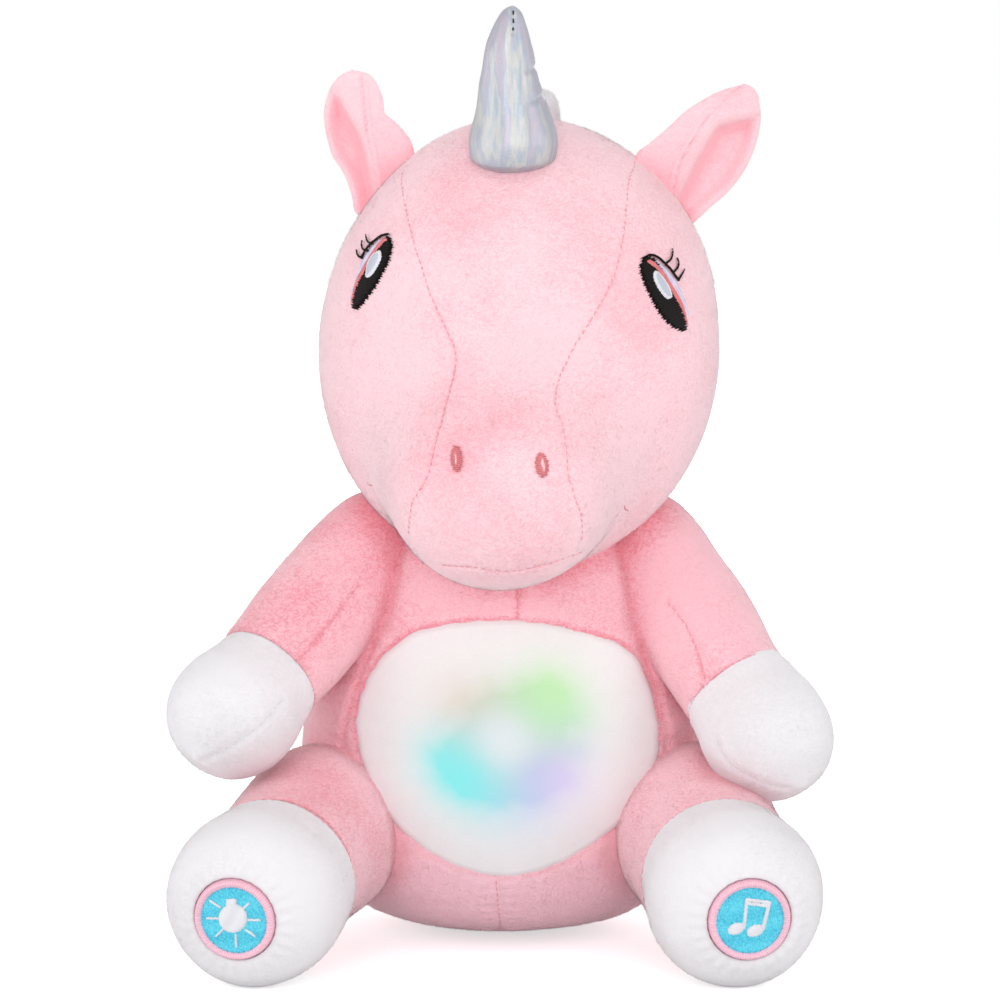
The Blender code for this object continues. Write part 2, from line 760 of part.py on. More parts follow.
def make_tail():
    """The tail, a short tapered roll at the foot of the back."""
    root = torso_back(TAIL_HEIGHT) - TAIL_ROOT_DEPTH
    outline = scaled_outline(TAIL_PROFILE_SHARES, TAIL_LENGTH, TAIL_RADIUS)

    def place(along, radius, angle):
        drop = TAIL_DROP * (along / TAIL_LENGTH) ** 2
        up = radius * math.sin(angle) + TAIL_HEIGHT - drop
        return Vector((radius * math.cos(angle), root + along, up))

    tail = spun("tail", outline, SMALL_SIDES, place)
    return dress(carve(tail, torso_form("torso_cutter", SOFT_GAP)), "white_plush")


def swing_cut(target, cutter, pivot, angles, axis="X"):
    """Clears a swinging piece from a still one, over the angles that it swings through."""
    for angle in angles:
        back = Matrix.Rotation(math.radians(-angle), 4, axis)
        about = Matrix.Translation(Vector(pivot)) @ back @ Matrix.Translation(-Vector(pivot))
        cutter.matrix_world = about
        carve(target, cutter, keep_tool=True)
    bpy.data.objects.remove(cutter)
    return target


def neck_pivot():
    """The point that the head nods about."""
    aside = TORSO_LEAN * NECK_PIVOT_HEIGHT / TORSO_HEIGHT
    return Vector((aside, -NECK_PIVOT_FORWARD, NECK_PIVOT_HEIGHT))


def make_head():
    """The head, hollowed where it sits over the shoulders so that it can nod."""
    head = head_form("head")
    nods = (-NOD_RANGE, 0, NOD_RANGE)
    swing_cut(head, torso_form("torso_cutter", SOFT_GAP + GAP), neck_pivot(), nods)
    return dress(head, "head_plush")


def seat_flat(item):
    """Cuts a form flat where it meets the floor."""
    reach = TORSO_HEIGHT
    floor = block("floor_cutter", (-reach, -reach, -OVERRUN), (reach, reach, 0))
    return carve(item, floor)


def make_arm(side):
    """A sleeve and its hoof cap, cleared from the torso, head and leg that they swing past."""
    tag = "left" if side < 0 else "right"
    cuff = CUFF_SHARE * ARM_LENGTH
    sleeve = limb_form("arm_" + tag, part_of(ARM_OUTLINE, 0, cuff - GAP / 2), arm_frame(side))
    hoof = limb_form("hoof_cap_" + tag, part_of(ARM_OUTLINE, cuff + GAP / 2, ARM_LENGTH), arm_frame(side))
    pivot = shoulder_place(side)
    swings = [-ARM_SWING * i / 3 for i in range(4)]
    swing_cut(sleeve, torso_form("torso_cutter", SOFT_GAP + GAP), pivot, swings)
    for nod in (-NOD_RANGE, NOD_RANGE):
        head = head_form("head_cutter", SOFT_GAP + GAP)
        nodding = Matrix.Rotation(math.radians(nod), 4, "X")
        neck = Matrix.Translation(neck_pivot())
        head.data.transform(neck @ nodding @ neck.inverted())
        swing_cut(sleeve, head, pivot, swings)
    leg = limb_form("leg_cutter", grown(LEG_OUTLINE, SOFT_GAP), leg_frame(side))
    carve(hoof, leg)
    return dress(sleeve, "body_plush"), dress(hoof, "white_plush")


def sole_frame(side):
    """A frame at the middle of a sole, with Z pointing out of the foot."""
    return leg_frame(side) @ Matrix.Translation((0, 0, LEG_LENGTH))


# Leads

def lead_path(side):
    """A foot lead's route, from the button cup through the leg to the sound box."""
    sole = sole_frame(side)
    ankle = sole @ Vector((0, 0, -cup_floor_depth() + CUP_WALL / 2))
    shin = sole @ Vector((0, 0, -cup_floor_depth() - CUP_DEPTH))
    thigh = leg_frame(side) @ Vector((0, 0, LEG_LENGTH * CUFF_SHARE / 2))
    low = Vector((side * LEAD_LOW_ASIDE, LEAD_LOW_BACK, LEAD_LOW_HEIGHT))
    entry_y = case_front_back() - CASE_WALL - LEAD_RADIUS * 4
    rise = Vector((side * LEAD_CASE_ASIDE, entry_y, LEAD_RISE_HEIGHT))
    entry = Vector((side * LEAD_CASE_ASIDE, entry_y, CASE_BOTTOM + CASE_WALL / 2))
    return smooth_points([ankle, shin, thigh, low, rise, entry], 4)


def lead_tunnel(side):
    """The channel that a foot lead lies in, run past both of its ends."""
    path = lead_path(side)
    first = path[0] + (path[0] - path[1]).normalized() * CUP_WALL
    last = path[-1] + Vector((0, 0, CASE_WALL))
    return tube("tunnel_cutter", [first] + path[1:-1] + [last], LEAD_RADIUS + LEAD_CLEARANCE, SMALL_SIDES)


def cup_floor_depth():
    """How far in from the sole the button cup's outer floor lies."""
    return CUP_RIM_DEPTH + CUP_DEPTH


def make_leg(side):
    """A leg and its foot cap, with a well for the press button and a channel for its lead."""
    tag = "left" if side < 0 else "right"
    cuff = SOLE_CUFF_SHARE * LEG_LENGTH
    frame = leg_frame(side)
    leg = limb_form("leg_" + tag, part_of(LEG_OUTLINE, 0, cuff - GAP / 2), frame)
    foot = limb_form("foot_cap_" + tag, part_of(LEG_OUTLINE, cuff + GAP / 2, LEG_LENGTH), frame)
    carve(leg, torso_form("torso_cutter", SOFT_GAP))
    mouth = BADGE_RADIUS + POCKET_CLEARANCE
    well = CUP_RADIUS + GAP
    step = -(CUP_RIM_DEPTH - GAP)
    bottom = -(cup_floor_depth() + GAP)
    profile = ((OVERRUN, 0), (OVERRUN, mouth), (step, mouth), (step, well), (bottom, well), (bottom, 0))
    twisted = sole_frame(side) @ Matrix.Rotation(math.radians(BORE_TWIST), 4, "Z")
    carve(foot, turned("well_cutter", profile, twisted))
    for item in (leg, foot):
        carve(item, lead_tunnel(side))
        seat_flat(item)
    return dress(leg, "body_plush"), dress(foot, "white_plush")


def make_foot_button(side):
    """The press button in a sole: badge, cap, return spring, cup and switch board."""
    tag = "left" if side < 0 else "right"
    frame = sole_frame(side)
    badge_floor = BADGE_PROUD - BADGE_THICKNESS
    ring = BADGE_RADIUS - BADGE_RING_WIDTH
    field = BADGE_PROUD - BADGE_RING_RISE
    badge = turned("badge_" + tag, (
        (badge_floor, 0), (badge_floor, BADGE_RADIUS), (field, BADGE_RADIUS),
        (BADGE_PROUD, BADGE_RADIUS - BADGE_RING_RISE), (BADGE_PROUD, ring + BADGE_RING_RISE),
        (field, ring), (field, 0),
    ), frame)
    cap_top = badge_floor - GAP
    cap_floor = cap_top - CAP_THICKNESS
    cup_floor = -cup_floor_depth()
    board_floor = cup_floor + CUP_WALL + GAP
    board_top = board_floor + FOOT_BOARD_THICKNESS
    stem_end = board_top + TACT_HEIGHT + GAP + BUTTON_TRAVEL
    cap = turned("button_cap_" + tag, (
        (cap_top, 0), (cap_top, CAP_RADIUS), (cap_floor, CAP_RADIUS),
        (cap_floor, STEM_RADIUS), (stem_end, STEM_RADIUS), (stem_end, 0),
    ), frame)
    inner = CUP_RADIUS - CUP_WALL
    cup = turned("button_cup_" + tag, (
        (cup_floor, 0), (cup_floor, CUP_RADIUS), (-CUP_RIM_DEPTH, CUP_RADIUS),
        (-CUP_RIM_DEPTH, inner), (cup_floor + CUP_WALL, inner), (cup_floor + CUP_WALL, 0),
    ), frame)
    hole = LEAD_RADIUS + LEAD_CLEARANCE
    carve(cup, rod("hole_cutter", frame, cup_floor - OVERRUN, cup_floor + CUP_WALL + GAP, hole, SMALL_SIDES))
    board = turned("switch_board_" + tag, (
        (board_floor, 0), (board_floor, inner - GAP), (board_top, inner - GAP), (board_top, TACT_RADIUS),
        (board_top + TACT_HEIGHT, TACT_RADIUS), (board_top + TACT_HEIGHT, 0),
    ), frame)
    low = board_top + GAP + SPRING_WIRE
    high = cap_floor - GAP - SPRING_WIRE
    turns = [i / COIL_STEPS for i in range(SPRING_TURNS * COIL_STEPS + 1)]
    points = [frame @ Vector((
        SPRING_RADIUS * math.cos(math.tau * turn),
        SPRING_RADIUS * math.sin(math.tau * turn),
        low + (high - low) * turn / SPRING_TURNS,
    )) for turn in turns]
    spring = tube("button_spring_" + tag, points, SPRING_WIRE, 4)
    lead = tube("foot_lead_" + tag, lead_path(side), LEAD_RADIUS)
    dress(spring, "steel")
    dress(cup, "white_plastic")
    dress(board, "board_green")
    dress(lead, "lead_rubber")
    dress(badge, "badge_thread")
    dress(cap, "white_plastic")
    hang([badge, cap], "button_pivot_" + tag, frame.translation)


# Belly window and light unit

def torso_front(aside, height):
    """How far forward the torso's surface lies at a distance aside and a height."""
    radius = radius_at(TORSO_OUTLINE, height + SEAT_CUT)
    return TORSO_DEPTH / TORSO_WIDTH * math.sqrt(max(0, radius * radius - aside * aside))


def light_back_forward():
    """How far forward the light unit's back lies, so that its lens clears the belly window's back."""
    top = torso_front(LIGHT_ASIDE, LIGHT_CENTRE_HEIGHT + LIGHT_RADIUS)
    edge = torso_front(LIGHT_ASIDE + LIGHT_RADIUS, LIGHT_CENTRE_HEIGHT)
    return min(top, edge) - WINDOW_THICKNESS - LENS_CLEARANCE - (LIGHT_DEPTH + GAP + LENS_WALL)


def light_frame():
    """The light unit's frame, at its back and facing the viewer."""
    return frame_at((LIGHT_ASIDE, -light_back_forward(), LIGHT_CENTRE_HEIGHT), (0, -1, 0))


def window_prism(name, ease):
    """The belly window's oval, run through the front of the torso, eased by a distance."""
    front = -(TORSO_DEPTH / 2 + OVERRUN)
    width = WINDOW_WIDTH + 2 * ease
    height = WINDOW_HEIGHT + 2 * ease
    return oval_prism(name, width, height, WINDOW_ASIDE, WINDOW_CENTRE_HEIGHT, front, -light_back_forward())


def make_window():
    """The belly window, a padded panel that follows the torso's front."""
    window = window_prism("belly_window", 0)
    carve(window, torso_form("torso_cutter"), "INTERSECT")
    carve(window, torso_form("core_cutter", -WINDOW_THICKNESS))
    return dress(window, "window_cloth")


def post_places():
    """The board posts' places across the light unit."""
    return [
        (POST_CIRCLE_RADIUS * math.cos(math.radians(a)), POST_CIRCLE_RADIUS * math.sin(math.radians(a)))
        for a in POST_ANGLES
    ]


def make_screw(name, frame):
    """A screw with its head at its frame and its shank below."""
    screw = turned(name, (
        (SCREW_HEAD_HEIGHT, 0), (SCREW_HEAD_HEIGHT, SCREW_HEAD_RADIUS), (0, SCREW_HEAD_RADIUS),
        (0, SCREW_SHANK_RADIUS), (-SCREW_SHANK_LENGTH, SCREW_SHANK_RADIUS), (-SCREW_SHANK_LENGTH, 0),
    ), frame, SMALL_SIDES)
    return dress(screw, "steel")


def screw_bore(frame):
    """The hole that a screw's shank turns into, run past its head and its end."""
    twisted = frame @ Matrix.Rotation(math.radians(BORE_TWIST), 4, "Z")
    radius = SCREW_SHANK_RADIUS + GAP
    return rod("bore_cutter", twisted, -SCREW_SHANK_LENGTH - GAP, OVERRUN, radius, SMALL_SIDES)


def make_light_unit():
    """The round unit behind the belly window: housing, board, five lamps and lens."""
    frame = light_frame()
    inner = LIGHT_RADIUS - LIGHT_WALL
    housing = turned("light_housing", (
        (0, 0), (0, LIGHT_RADIUS), (LIGHT_DEPTH, LIGHT_RADIUS),
        (LIGHT_DEPTH, inner), (LIGHT_WALL, inner), (LIGHT_WALL, 0),
    ), frame)
    board_floor = LIGHT_WALL + POST_LENGTH + GAP
    board_top = board_floor + BOARD_THICKNESS
    board = rod("led_board", frame, board_floor, board_top, inner - GAP)
    for across, up in post_places():
        spot = frame @ Matrix.Translation((across, up, 0))
        post = rod("post", spot, LIGHT_WALL / 2, LIGHT_WALL + POST_LENGTH, POST_RADIUS, SMALL_SIDES)
        carve(housing, post, "UNION")
    lead_hole = frame @ Matrix.Translation((0, LIGHT_LEAD_RISE, 0))
    hole_radius = LEAD_RADIUS + LEAD_CLEARANCE
    carve(housing, rod("hole_cutter", lead_hole, -OVERRUN, LIGHT_WALL + GAP, hole_radius, SMALL_SIDES))
    dress(housing, "white_plastic")
    dress(board, "board_green")
    lens_foot = LIGHT_DEPTH + GAP
    rise_shares = (0.0, 0.5, 0.8, 0.95, 1.0)
    outside = [(lens_foot + LENS_WALL, LIGHT_RADIUS), (lens_foot, LIGHT_RADIUS)]
    inside = dome_points(lens_foot, LENS_RISE - LENS_WALL, inner - LENS_WALL, rise_shares)
    shell = dome_points(lens_foot + LENS_WALL, LENS_RISE - LENS_WALL, inner, rise_shares)
    dress(turned("diffuser_lens", list(reversed(shell)) + outside + inside, frame), "lens_plastic", 60)
    lamp_floor = board_top + GAP
    lamps = (
        ("led_white", 0, 0), ("led_green", LED_SPREAD, LED_SPREAD), ("led_cyan", -LED_SPREAD, -LED_SPREAD),
        ("led_violet", LED_SPREAD, -LED_SPREAD), ("led_peach", -LED_SPREAD, LED_SPREAD),
    )
    for name, across, up in lamps:
        spot = light_frame() @ Matrix.Translation((across, up, 0))
        dome = dome_points(lamp_floor + LED_HEIGHT - LED_RADIUS, LED_RADIUS, LED_RADIUS, rise_shares)
        lamp = turned(name, [(lamp_floor, 0), (lamp_floor, LED_RADIUS)] + dome, spot, SMALL_SIDES)
        dress(lamp, name, 60)


def dome_points(foot, rise, radius, rise_shares):
    """The outline of a low dome from its edge to its top."""
    points = []
    for share in rise_shares[:-1]:
        points.append((foot + rise * share, radius * math.sqrt(1 - share * share)))
    return points + [(foot + rise, 0)]


# Sound box

def case_half_width():
    """Half the sound box's width, from the cells and contacts that it holds."""
    room = CELL_LENGTH + COIL_LENGTH + 2 * PLATE_THICKNESS + 5 * GAP
    return room / 2 + CASE_WALL


def cell_pitch():
    """The height from one cell to the next."""
    return 2 * CELL_RADIUS + CELL_SPACING


def rib_height():
    """The underside of the rib between the cells and the switch."""
    return CASE_BOTTOM + CASE_WALL + DOOR_SCREW_ROOM + CELL_COUNT * cell_pitch()


def case_top():
    """The sound box's top."""
    return rib_height() + CASE_WALL + SWITCH_BAY_HEIGHT + CASE_WALL


def case_back():
    """The back face of the sound box, with room for the flap and its pad behind it."""
    return torso_back(case_top()) - FLAP_ROOM


def tray_front():
    """The front face of the battery tray."""
    return case_back() - (CASE_WALL + GAP + 2 * CELL_RADIUS + GAP + DOOR_THICKNESS)


def case_front_back():
    """The back edge of the front case."""
    return tray_front() - GAP


def case_front():
    """The front face of the front case."""
    return case_front_back() - (CASE_WALL + GAP + SPEAKER_DEPTH + BOARD_ROOM + BOARD_THICKNESS + GAP)


def case_middle():
    """The height of the sound box's middle."""
    return (CASE_BOTTOM + case_top()) / 2


def case_screw_frame(side):
    """A case screw's frame, driven in from the front at the lower left or the upper right corner."""
    across = case_half_width() - CORNER_POST / 2
    up = (case_top() - CASE_BOTTOM) / 2 - CORNER_POST / 2
    start = case_front_back() - SCREW_SHANK_LENGTH + CASE_WALL - GAP
    return frame_at((side * across, start, case_middle() + side * up), (0, -1, 0))


def make_front_case():
    """The front half of the sound box, with its speaker, circuit board and screws."""
    half = case_half_width()
    front = case_front()
    back = case_front_back()
    case = block("sound_case_front", (-half, front, CASE_BOTTOM), (half, back, case_top()), CASE_CORNER)
    inner = half - CASE_WALL
    low = CASE_BOTTOM + CASE_WALL
    high = case_top() - CASE_WALL
    hollow = block("hollow", (-inner, front + CASE_WALL, low), (inner, back + OVERRUN, high))
    for side in (-1, 1):
        for level in (-1, 1):
            corner = Vector((side * half, 0, case_middle() + level * (case_top() - CASE_BOTTOM) / 2))
            near = corner - Vector((side * CORNER_POST, 0, level * CORNER_POST))
            far = corner + Vector((side * CORNER_POST, 0, level * CORNER_POST))
            ends = sorted((near.x, far.x)), sorted((near.z, far.z))
            post_low = (ends[0][0], front - OVERRUN, ends[1][0])
            post_high = (ends[0][1], back + 2 * OVERRUN, ends[1][1])
            carve(hollow, block("post_cutter", post_low, post_high))
    carve(case, hollow)
    for side in (-1, 1):
        frame = case_screw_frame(side)
        carve(case, screw_bore(frame))
        carve(case, rod("head_cutter", frame, -GAP, OVERRUN * 2, SCREW_HEAD_RADIUS + GAP, SMALL_SIDES))
        make_screw("case_screw_left" if side < 0 else "case_screw_right", frame)
    wall_hole = LEAD_RADIUS + LEAD_CLEARANCE
    lead_height = LIGHT_CENTRE_HEIGHT + LIGHT_LEAD_RISE
    entry = frame_at((LIGHT_ASIDE, front, lead_height), (0, 1, 0))
    carve(case, rod("hole_cutter", entry, -OVERRUN, CASE_WALL + GAP, wall_hole, SMALL_SIDES))
    for side in (-1, 1):
        tip = lead_path(side)[-1]
        entry = frame_at((tip.x, tip.y, CASE_BOTTOM), (0, 0, 1))
        carve(case, rod("hole_cutter", entry, -OVERRUN, CASE_WALL + GAP, wall_hole, SMALL_SIDES))
    speaker_frame = frame_at((0, front, case_middle()), (0, 1, 0))
    grille = [(0, 0)]
    for i in range(GRILLE_HOLES):
        angle = math.tau * i / GRILLE_HOLES
        grille.append((GRILLE_CIRCLE_RADIUS * math.cos(angle), GRILLE_CIRCLE_RADIUS * math.sin(angle)))
    for across, up in grille:
        spot = speaker_frame @ Matrix.Translation((across, up, 0))
        carve(case, rod("hole_cutter", spot, -OVERRUN, CASE_WALL + GAP, GRILLE_HOLE_RADIUS, SMALL_SIDES))
    dress(case, "white_plastic")
    rim = CASE_WALL + GAP
    speaker = turned("speaker", (
        (rim + SPEAKER_DISH, 0), (rim + SPEAKER_DISH, SPEAKER_MAGNET_RADIUS / 2),
        (rim, SPEAKER_RADIUS - SPEAKER_RIM / 2), (rim, SPEAKER_RADIUS), (rim + SPEAKER_RIM, SPEAKER_RADIUS),
        (rim + SPEAKER_RIM, SPEAKER_MAGNET_RADIUS), (rim + SPEAKER_DEPTH, SPEAKER_MAGNET_RADIUS),
        (rim + SPEAKER_DEPTH, 0),
    ), speaker_frame)
    dress(speaker, "speaker_paper")
    across = half - CORNER_POST - GAP
    tall = (case_top() - CASE_BOTTOM) / 2 - CASE_WALL - GAP
    board_back = back - GAP
    board_front = board_back - BOARD_THICKNESS
    board_low = (-across, board_front, case_middle() - tall)
    board_high = (across, board_back, case_middle() + tall)
    board = block("circuit_board", board_low, board_high)
    chip_low = (-CHIP_WIDTH / 2, board_front - CHIP_HEIGHT, case_middle() + SPEAKER_MAGNET_RADIUS)
    chip_high = (CHIP_WIDTH / 2, board_front + GAP, case_middle() + SPEAKER_MAGNET_RADIUS + CHIP_WIDTH)
    carve(board, block("sound_chip", chip_low, chip_high), "UNION")
    dress(board, "board_green")


def door_screw_frame():
    """The battery door's screw, at the foot of the door."""
    height = CASE_BOTTOM + CASE_WALL + DOOR_SCREW_ROOM / 2
    return frame_at((0, case_back() + GAP, height), (0, 1, 0))


def make_battery_tray():
    """The back half of the sound box, with its cells, contacts, door and power switch."""
    half = case_half_width()
    inner = half - CASE_WALL
    front = tray_front()
    floor = front + CASE_WALL
    tray = block("battery_tray", (-half, front, CASE_BOTTOM), (half, case_back(), case_top()), CASE_CORNER)
    bay_low = CASE_BOTTOM + CASE_WALL
    carve(tray, block("bay", (-inner, floor, bay_low), (inner, case_back() + OVERRUN, rib_height())))
    door_back = case_back()
    screw_post = frame_at((0, front, door_screw_frame().translation.z), (0, 1, 0))
    post_top = case_back() - DOOR_THICKNESS - GAP - front
    carve(tray, rod("post", screw_post, CASE_WALL / 2, post_top, POST_RADIUS, SMALL_SIDES), "UNION")
    carve(tray, screw_bore(door_screw_frame()))
    for side in (-1, 1):
        carve(tray, screw_bore(case_screw_frame(side)))
    switch_low = rib_height() + CASE_WALL
    switch_back = case_back() - CASE_WALL
    switch_top = switch_low + SWITCH_BAY_HEIGHT
    bay_half = SWITCH_BODY_WIDTH / 2 + KNOB_WIDTH
    carve(tray, block("bay", (-bay_half, front - OVERRUN, switch_low), (bay_half, switch_back, switch_top)))
    knob_middle = (switch_low + switch_top) / 2
    knob_low = knob_middle - KNOB_HEIGHT / 2
    slot_left = -KNOB_WIDTH / 2 - GAP
    slot_right = KNOB_WIDTH / 2 + SWITCH_TRAVEL + GAP
    slot_low = (slot_left, switch_back - OVERRUN / 2, knob_low - GAP)
    carve(tray, block("slot", slot_low, (slot_right, case_back() + OVERRUN, knob_low + KNOB_HEIGHT + GAP)))
    dress(tray, "white_plastic")
    body_back = switch_back - GAP
    body_half = SWITCH_BODY_WIDTH / 2
    body_low = (-body_half, body_back - SWITCH_BODY_DEPTH, knob_middle - SWITCH_BODY_HEIGHT / 2)
    body_high = (body_half, body_back, knob_middle + SWITCH_BODY_HEIGHT / 2)
    dress(block("power_switch_body", body_low, body_high), "steel")
    knob = block(
        "power_switch_knob", (-KNOB_WIDTH / 2, body_back + GAP, knob_low),
        (KNOB_WIDTH / 2, case_back() + KNOB_PROUD, knob_low + KNOB_HEIGHT),
    )
    hang([dress(knob, "black_plastic")], "switch_pivot", (0, case_back(), knob_middle))
    door = block(
        "battery_door", (-inner + GAP, case_back() - DOOR_THICKNESS, bay_low + GAP),
        (inner - GAP, door_back, rib_height() - GAP),
    )
    carve(door, screw_bore(door_screw_frame()))
    dress(door, "white_plastic")
    make_screw("door_screw", door_screw_frame())
    make_cells(floor, inner)


def coil_wire(frame):
    """A contact coil that stands on a frame's origin and rises along its Z."""
    points = []
    for step in range(COIL_TURNS * COIL_STEPS + 1):
        turn = math.tau * step / COIL_STEPS
        along = (COIL_LENGTH - COIL_WIRE) * step / (COIL_TURNS * COIL_STEPS)
        points.append(frame @ Vector((COIL_RADIUS * math.cos(turn), COIL_RADIUS * math.sin(turn), along)))
    return tube("coil", points, COIL_WIRE, 4)


def make_cells(floor, inner):
    """The cells, lying across the tray by turns each way, and a contact strip at each of their ends."""
    middle_y = floor + GAP + CELL_RADIUS
    plate_face = inner - GAP - PLATE_THICKNESS
    lowest = CASE_BOTTOM + CASE_WALL + DOOR_SCREW_ROOM
    heights = [lowest + cell_pitch() * (i + 0.5) for i in range(CELL_COUNT)]
    strips = {}
    for side, name in ((-1, "contact_left"), (1, "contact_right")):
        ends = sorted((side * plate_face, side * (inner - GAP)))
        low = (ends[0], middle_y - PLATE_WIDTH / 2, heights[0] - PLATE_WIDTH / 2)
        high = (ends[1], middle_y + PLATE_WIDTH / 2, heights[-1] + PLATE_WIDTH / 2)
        strips[side] = block(name, low, high)
    for i, name in enumerate(("cell_lower", "cell_middle", "cell_upper")):
        way = 1 if i % 2 else -1
        frame = frame_at((-way * plate_face, middle_y, heights[i]), (way, 0, 0), (0, 0, 1))
        low = COIL_LENGTH + GAP
        body = low + CELL_LENGTH - CELL_NUB_LENGTH
        cell = turned(name, (
            (low, 0), (low, CELL_RADIUS), (body, CELL_RADIUS), (body, CELL_NUB_RADIUS),
            (low + CELL_LENGTH, CELL_NUB_RADIUS), (low + CELL_LENGTH, 0),
        ), frame)
        dress(cell, "cell_wrap")
        carve(strips[-way], coil_wire(frame), "UNION")
    for strip in strips.values():
        dress(strip, "steel")


def make_light_lead():
    """The lead between the light unit and the sound box."""
    height = LIGHT_CENTRE_HEIGHT + LIGHT_LEAD_RISE
    start = Vector((LIGHT_ASIDE, -light_back_forward() - LIGHT_WALL / 2, height))
    end = Vector((LIGHT_ASIDE, case_front() + CASE_WALL / 2, height))
    points = [start.lerp(end, share) for share in (0, 0.25, 0.5, 0.75, 1)]
    return dress(tube("light_lead", points, LEAD_RADIUS), "lead_rubber")


# Back flap

def flap_low():
    """The flap's lower edge."""
    return CASE_BOTTOM + CASE_WALL - FLAP_LEDGE


def flap_high():
    """The sewn top edge of the flap's opening."""
    return case_top() - CASE_WALL


def flap_hinge():
    """The middle of the flap's sewn edge, on the torso's surface."""
    height = flap_high() - SOFT_GAP
    return Vector((0, torso_back(height), height))


def back_layer(name, low, high, outer, inner):
    """A layer of the torso's back between two corners seen from behind and two depths of the skin."""
    back = TORSO_DEPTH / 2 + OVERRUN
    layer = block(name, (low[0], 0, low[1]), (high[0], back, high[1]))
    carve(layer, torso_form("outer_cutter", -outer), "INTERSECT")
    return carve(layer, torso_form("inner_cutter", -inner))


def make_flap():
    """The back flap with its foam pad and the two strips that hold it shut."""
    half = FLAP_WIDTH / 2 - SOFT_GAP
    low = flap_low() + SOFT_GAP
    high = flap_high() - SOFT_GAP
    flap = back_layer("back_flap", (-half, low), (half, high), 0, FLAP_THICKNESS)
    strip_half = STRIP_WIDTH / 2
    strip_low = low + SOFT_GAP
    strip_high = strip_low + STRIP_HEIGHT
    depth = FLAP_THICKNESS + GAP
    corners = ((-strip_half, strip_low), (strip_half, strip_high))
    loop = back_layer("loop_strip", *corners, depth, depth + STRIP_THICKNESS)
    depth = depth + STRIP_THICKNESS + GAP
    hook = back_layer("hook_strip", *corners, depth, depth + STRIP_THICKNESS)
    pad_low = flap_low() + FLAP_LEDGE + PAD_SWING_ROOM
    pad_front = case_back() + KNOB_PROUD + SCREW_HEAD_HEIGHT
    pad = block("flap_pad", (-half, pad_front, pad_low), (half, TORSO_DEPTH, high))
    carve(pad, torso_form("outer_cutter", -FLAP_THICKNESS - GAP), "INTERSECT")
    dress(hook, "strip_nylon")
    moving = [dress(flap, "body_plush"), dress(loop, "strip_nylon"), dress(pad, "foam")]
    hang(moving, "flap_pivot", flap_hinge())


def make_torso():
    """The torso, with room for the window, light unit, sound box, flap and leads."""
    torso = torso_form("torso")
    window = window_prism("window_cutter", GAP)
    carve(window, torso_form("core_cutter", -WINDOW_THICKNESS - GAP))
    carve(torso, window)
    frame = light_frame()
    light = rod("light_cutter", frame, -POCKET_CLEARANCE, TORSO_DEPTH, LIGHT_RADIUS + POCKET_CLEARANCE)
    carve(torso, light)
    half = case_half_width() + POCKET_CLEARANCE
    room_low = (-half, case_front() - POCKET_CLEARANCE, CASE_BOTTOM - POCKET_CLEARANCE)
    room_high = (half, case_back() + POCKET_CLEARANCE, case_top() + POCKET_CLEARANCE)
    carve(torso, block("case_cutter", room_low, room_high))
    passage_low = (-FLAP_WIDTH / 2, case_back() - OVERRUN, flap_low() + FLAP_LEDGE)
    passage_high = (FLAP_WIDTH / 2, TORSO_DEPTH, flap_high())
    carve(torso, block("passage_cutter", passage_low, passage_high))
    ledge_depth = FLAP_THICKNESS + 3 * GAP + 2 * STRIP_THICKNESS
    recess = block(
        "recess_cutter", (-FLAP_WIDTH / 2, 0, flap_low()),
        (FLAP_WIDTH / 2, TORSO_DEPTH, flap_low() + 2 * FLAP_LEDGE),
    )
    carve(recess, torso_form("core_cutter", -ledge_depth))
    carve(torso, recess)
    for side in (-1, 1):
        carve(torso, lead_tunnel(side))
    height = LIGHT_CENTRE_HEIGHT + LIGHT_LEAD_RISE
    channel = frame_at((LIGHT_ASIDE, -light_back_forward() - LIGHT_WALL, height), (0, 1, 0))
    run = light_back_forward() + 2 * LIGHT_WALL + case_front()
    carve(torso, rod("channel_cutter", channel, 0, run, LEAD_RADIUS + LEAD_CLEARANCE, SMALL_SIDES))
    return dress(seat_flat(torso), "body_plush")


def main():
    """Builds every piece."""
    clear_scene()
    make_torso()
    make_window()
    make_light_unit()
    make_light_lead()
    make_front_case()
    make_battery_tray()
    make_flap()
    make_tail()
    nodding = [make_head(), make_horn(), make_mane()]
    for side in (-1, 1):
        tag = "left" if side < 0 else "right"
        make_leg(side)
        make_foot_button(side)
        hang(make_arm(side), "shoulder_pivot_" + tag, shoulder_place(side))
        nodding.append(make_ear(side))
        eye_direction = face_direction(side, EYE_ASIDE_ANGLE, EYE_RAISED_ANGLE)
        eye_shares = [(along, side * across) for along, across in EYE_OUTLINE_SHARES]
        eye_size = (EYE_LENGTH, EYE_WIDTH)
        eye = stitched_patch("eye_" + tag, eye_direction, eye_shares, *eye_size, side * EYE_TILT_ANGLE)
        aside = NOSTRIL_ASIDE_LEFT if side < 0 else NOSTRIL_ASIDE_RIGHT
        direction = face_direction(side, aside, NOSTRIL_RAISED_ANGLE)
        shares = oval_shares(SMALL_SIDES)
        nostril = stitched_patch("nostril_" + tag, direction, shares, NOSTRIL_LENGTH, NOSTRIL_WIDTH, 0)
        nodding += [dress(eye, "eye_thread"), dress(nostril, "nostril_thread")]
    hang(nodding, "neck_pivot", neck_pivot())


main()
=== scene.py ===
"""The looks of a seated unicorn night light: plush, stitching, horn and lit belly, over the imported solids."""

import json
import math

import bpy
import numpy as np
from mathutils import Matrix, Vector
from mathutils.bvhtree import BVHTree


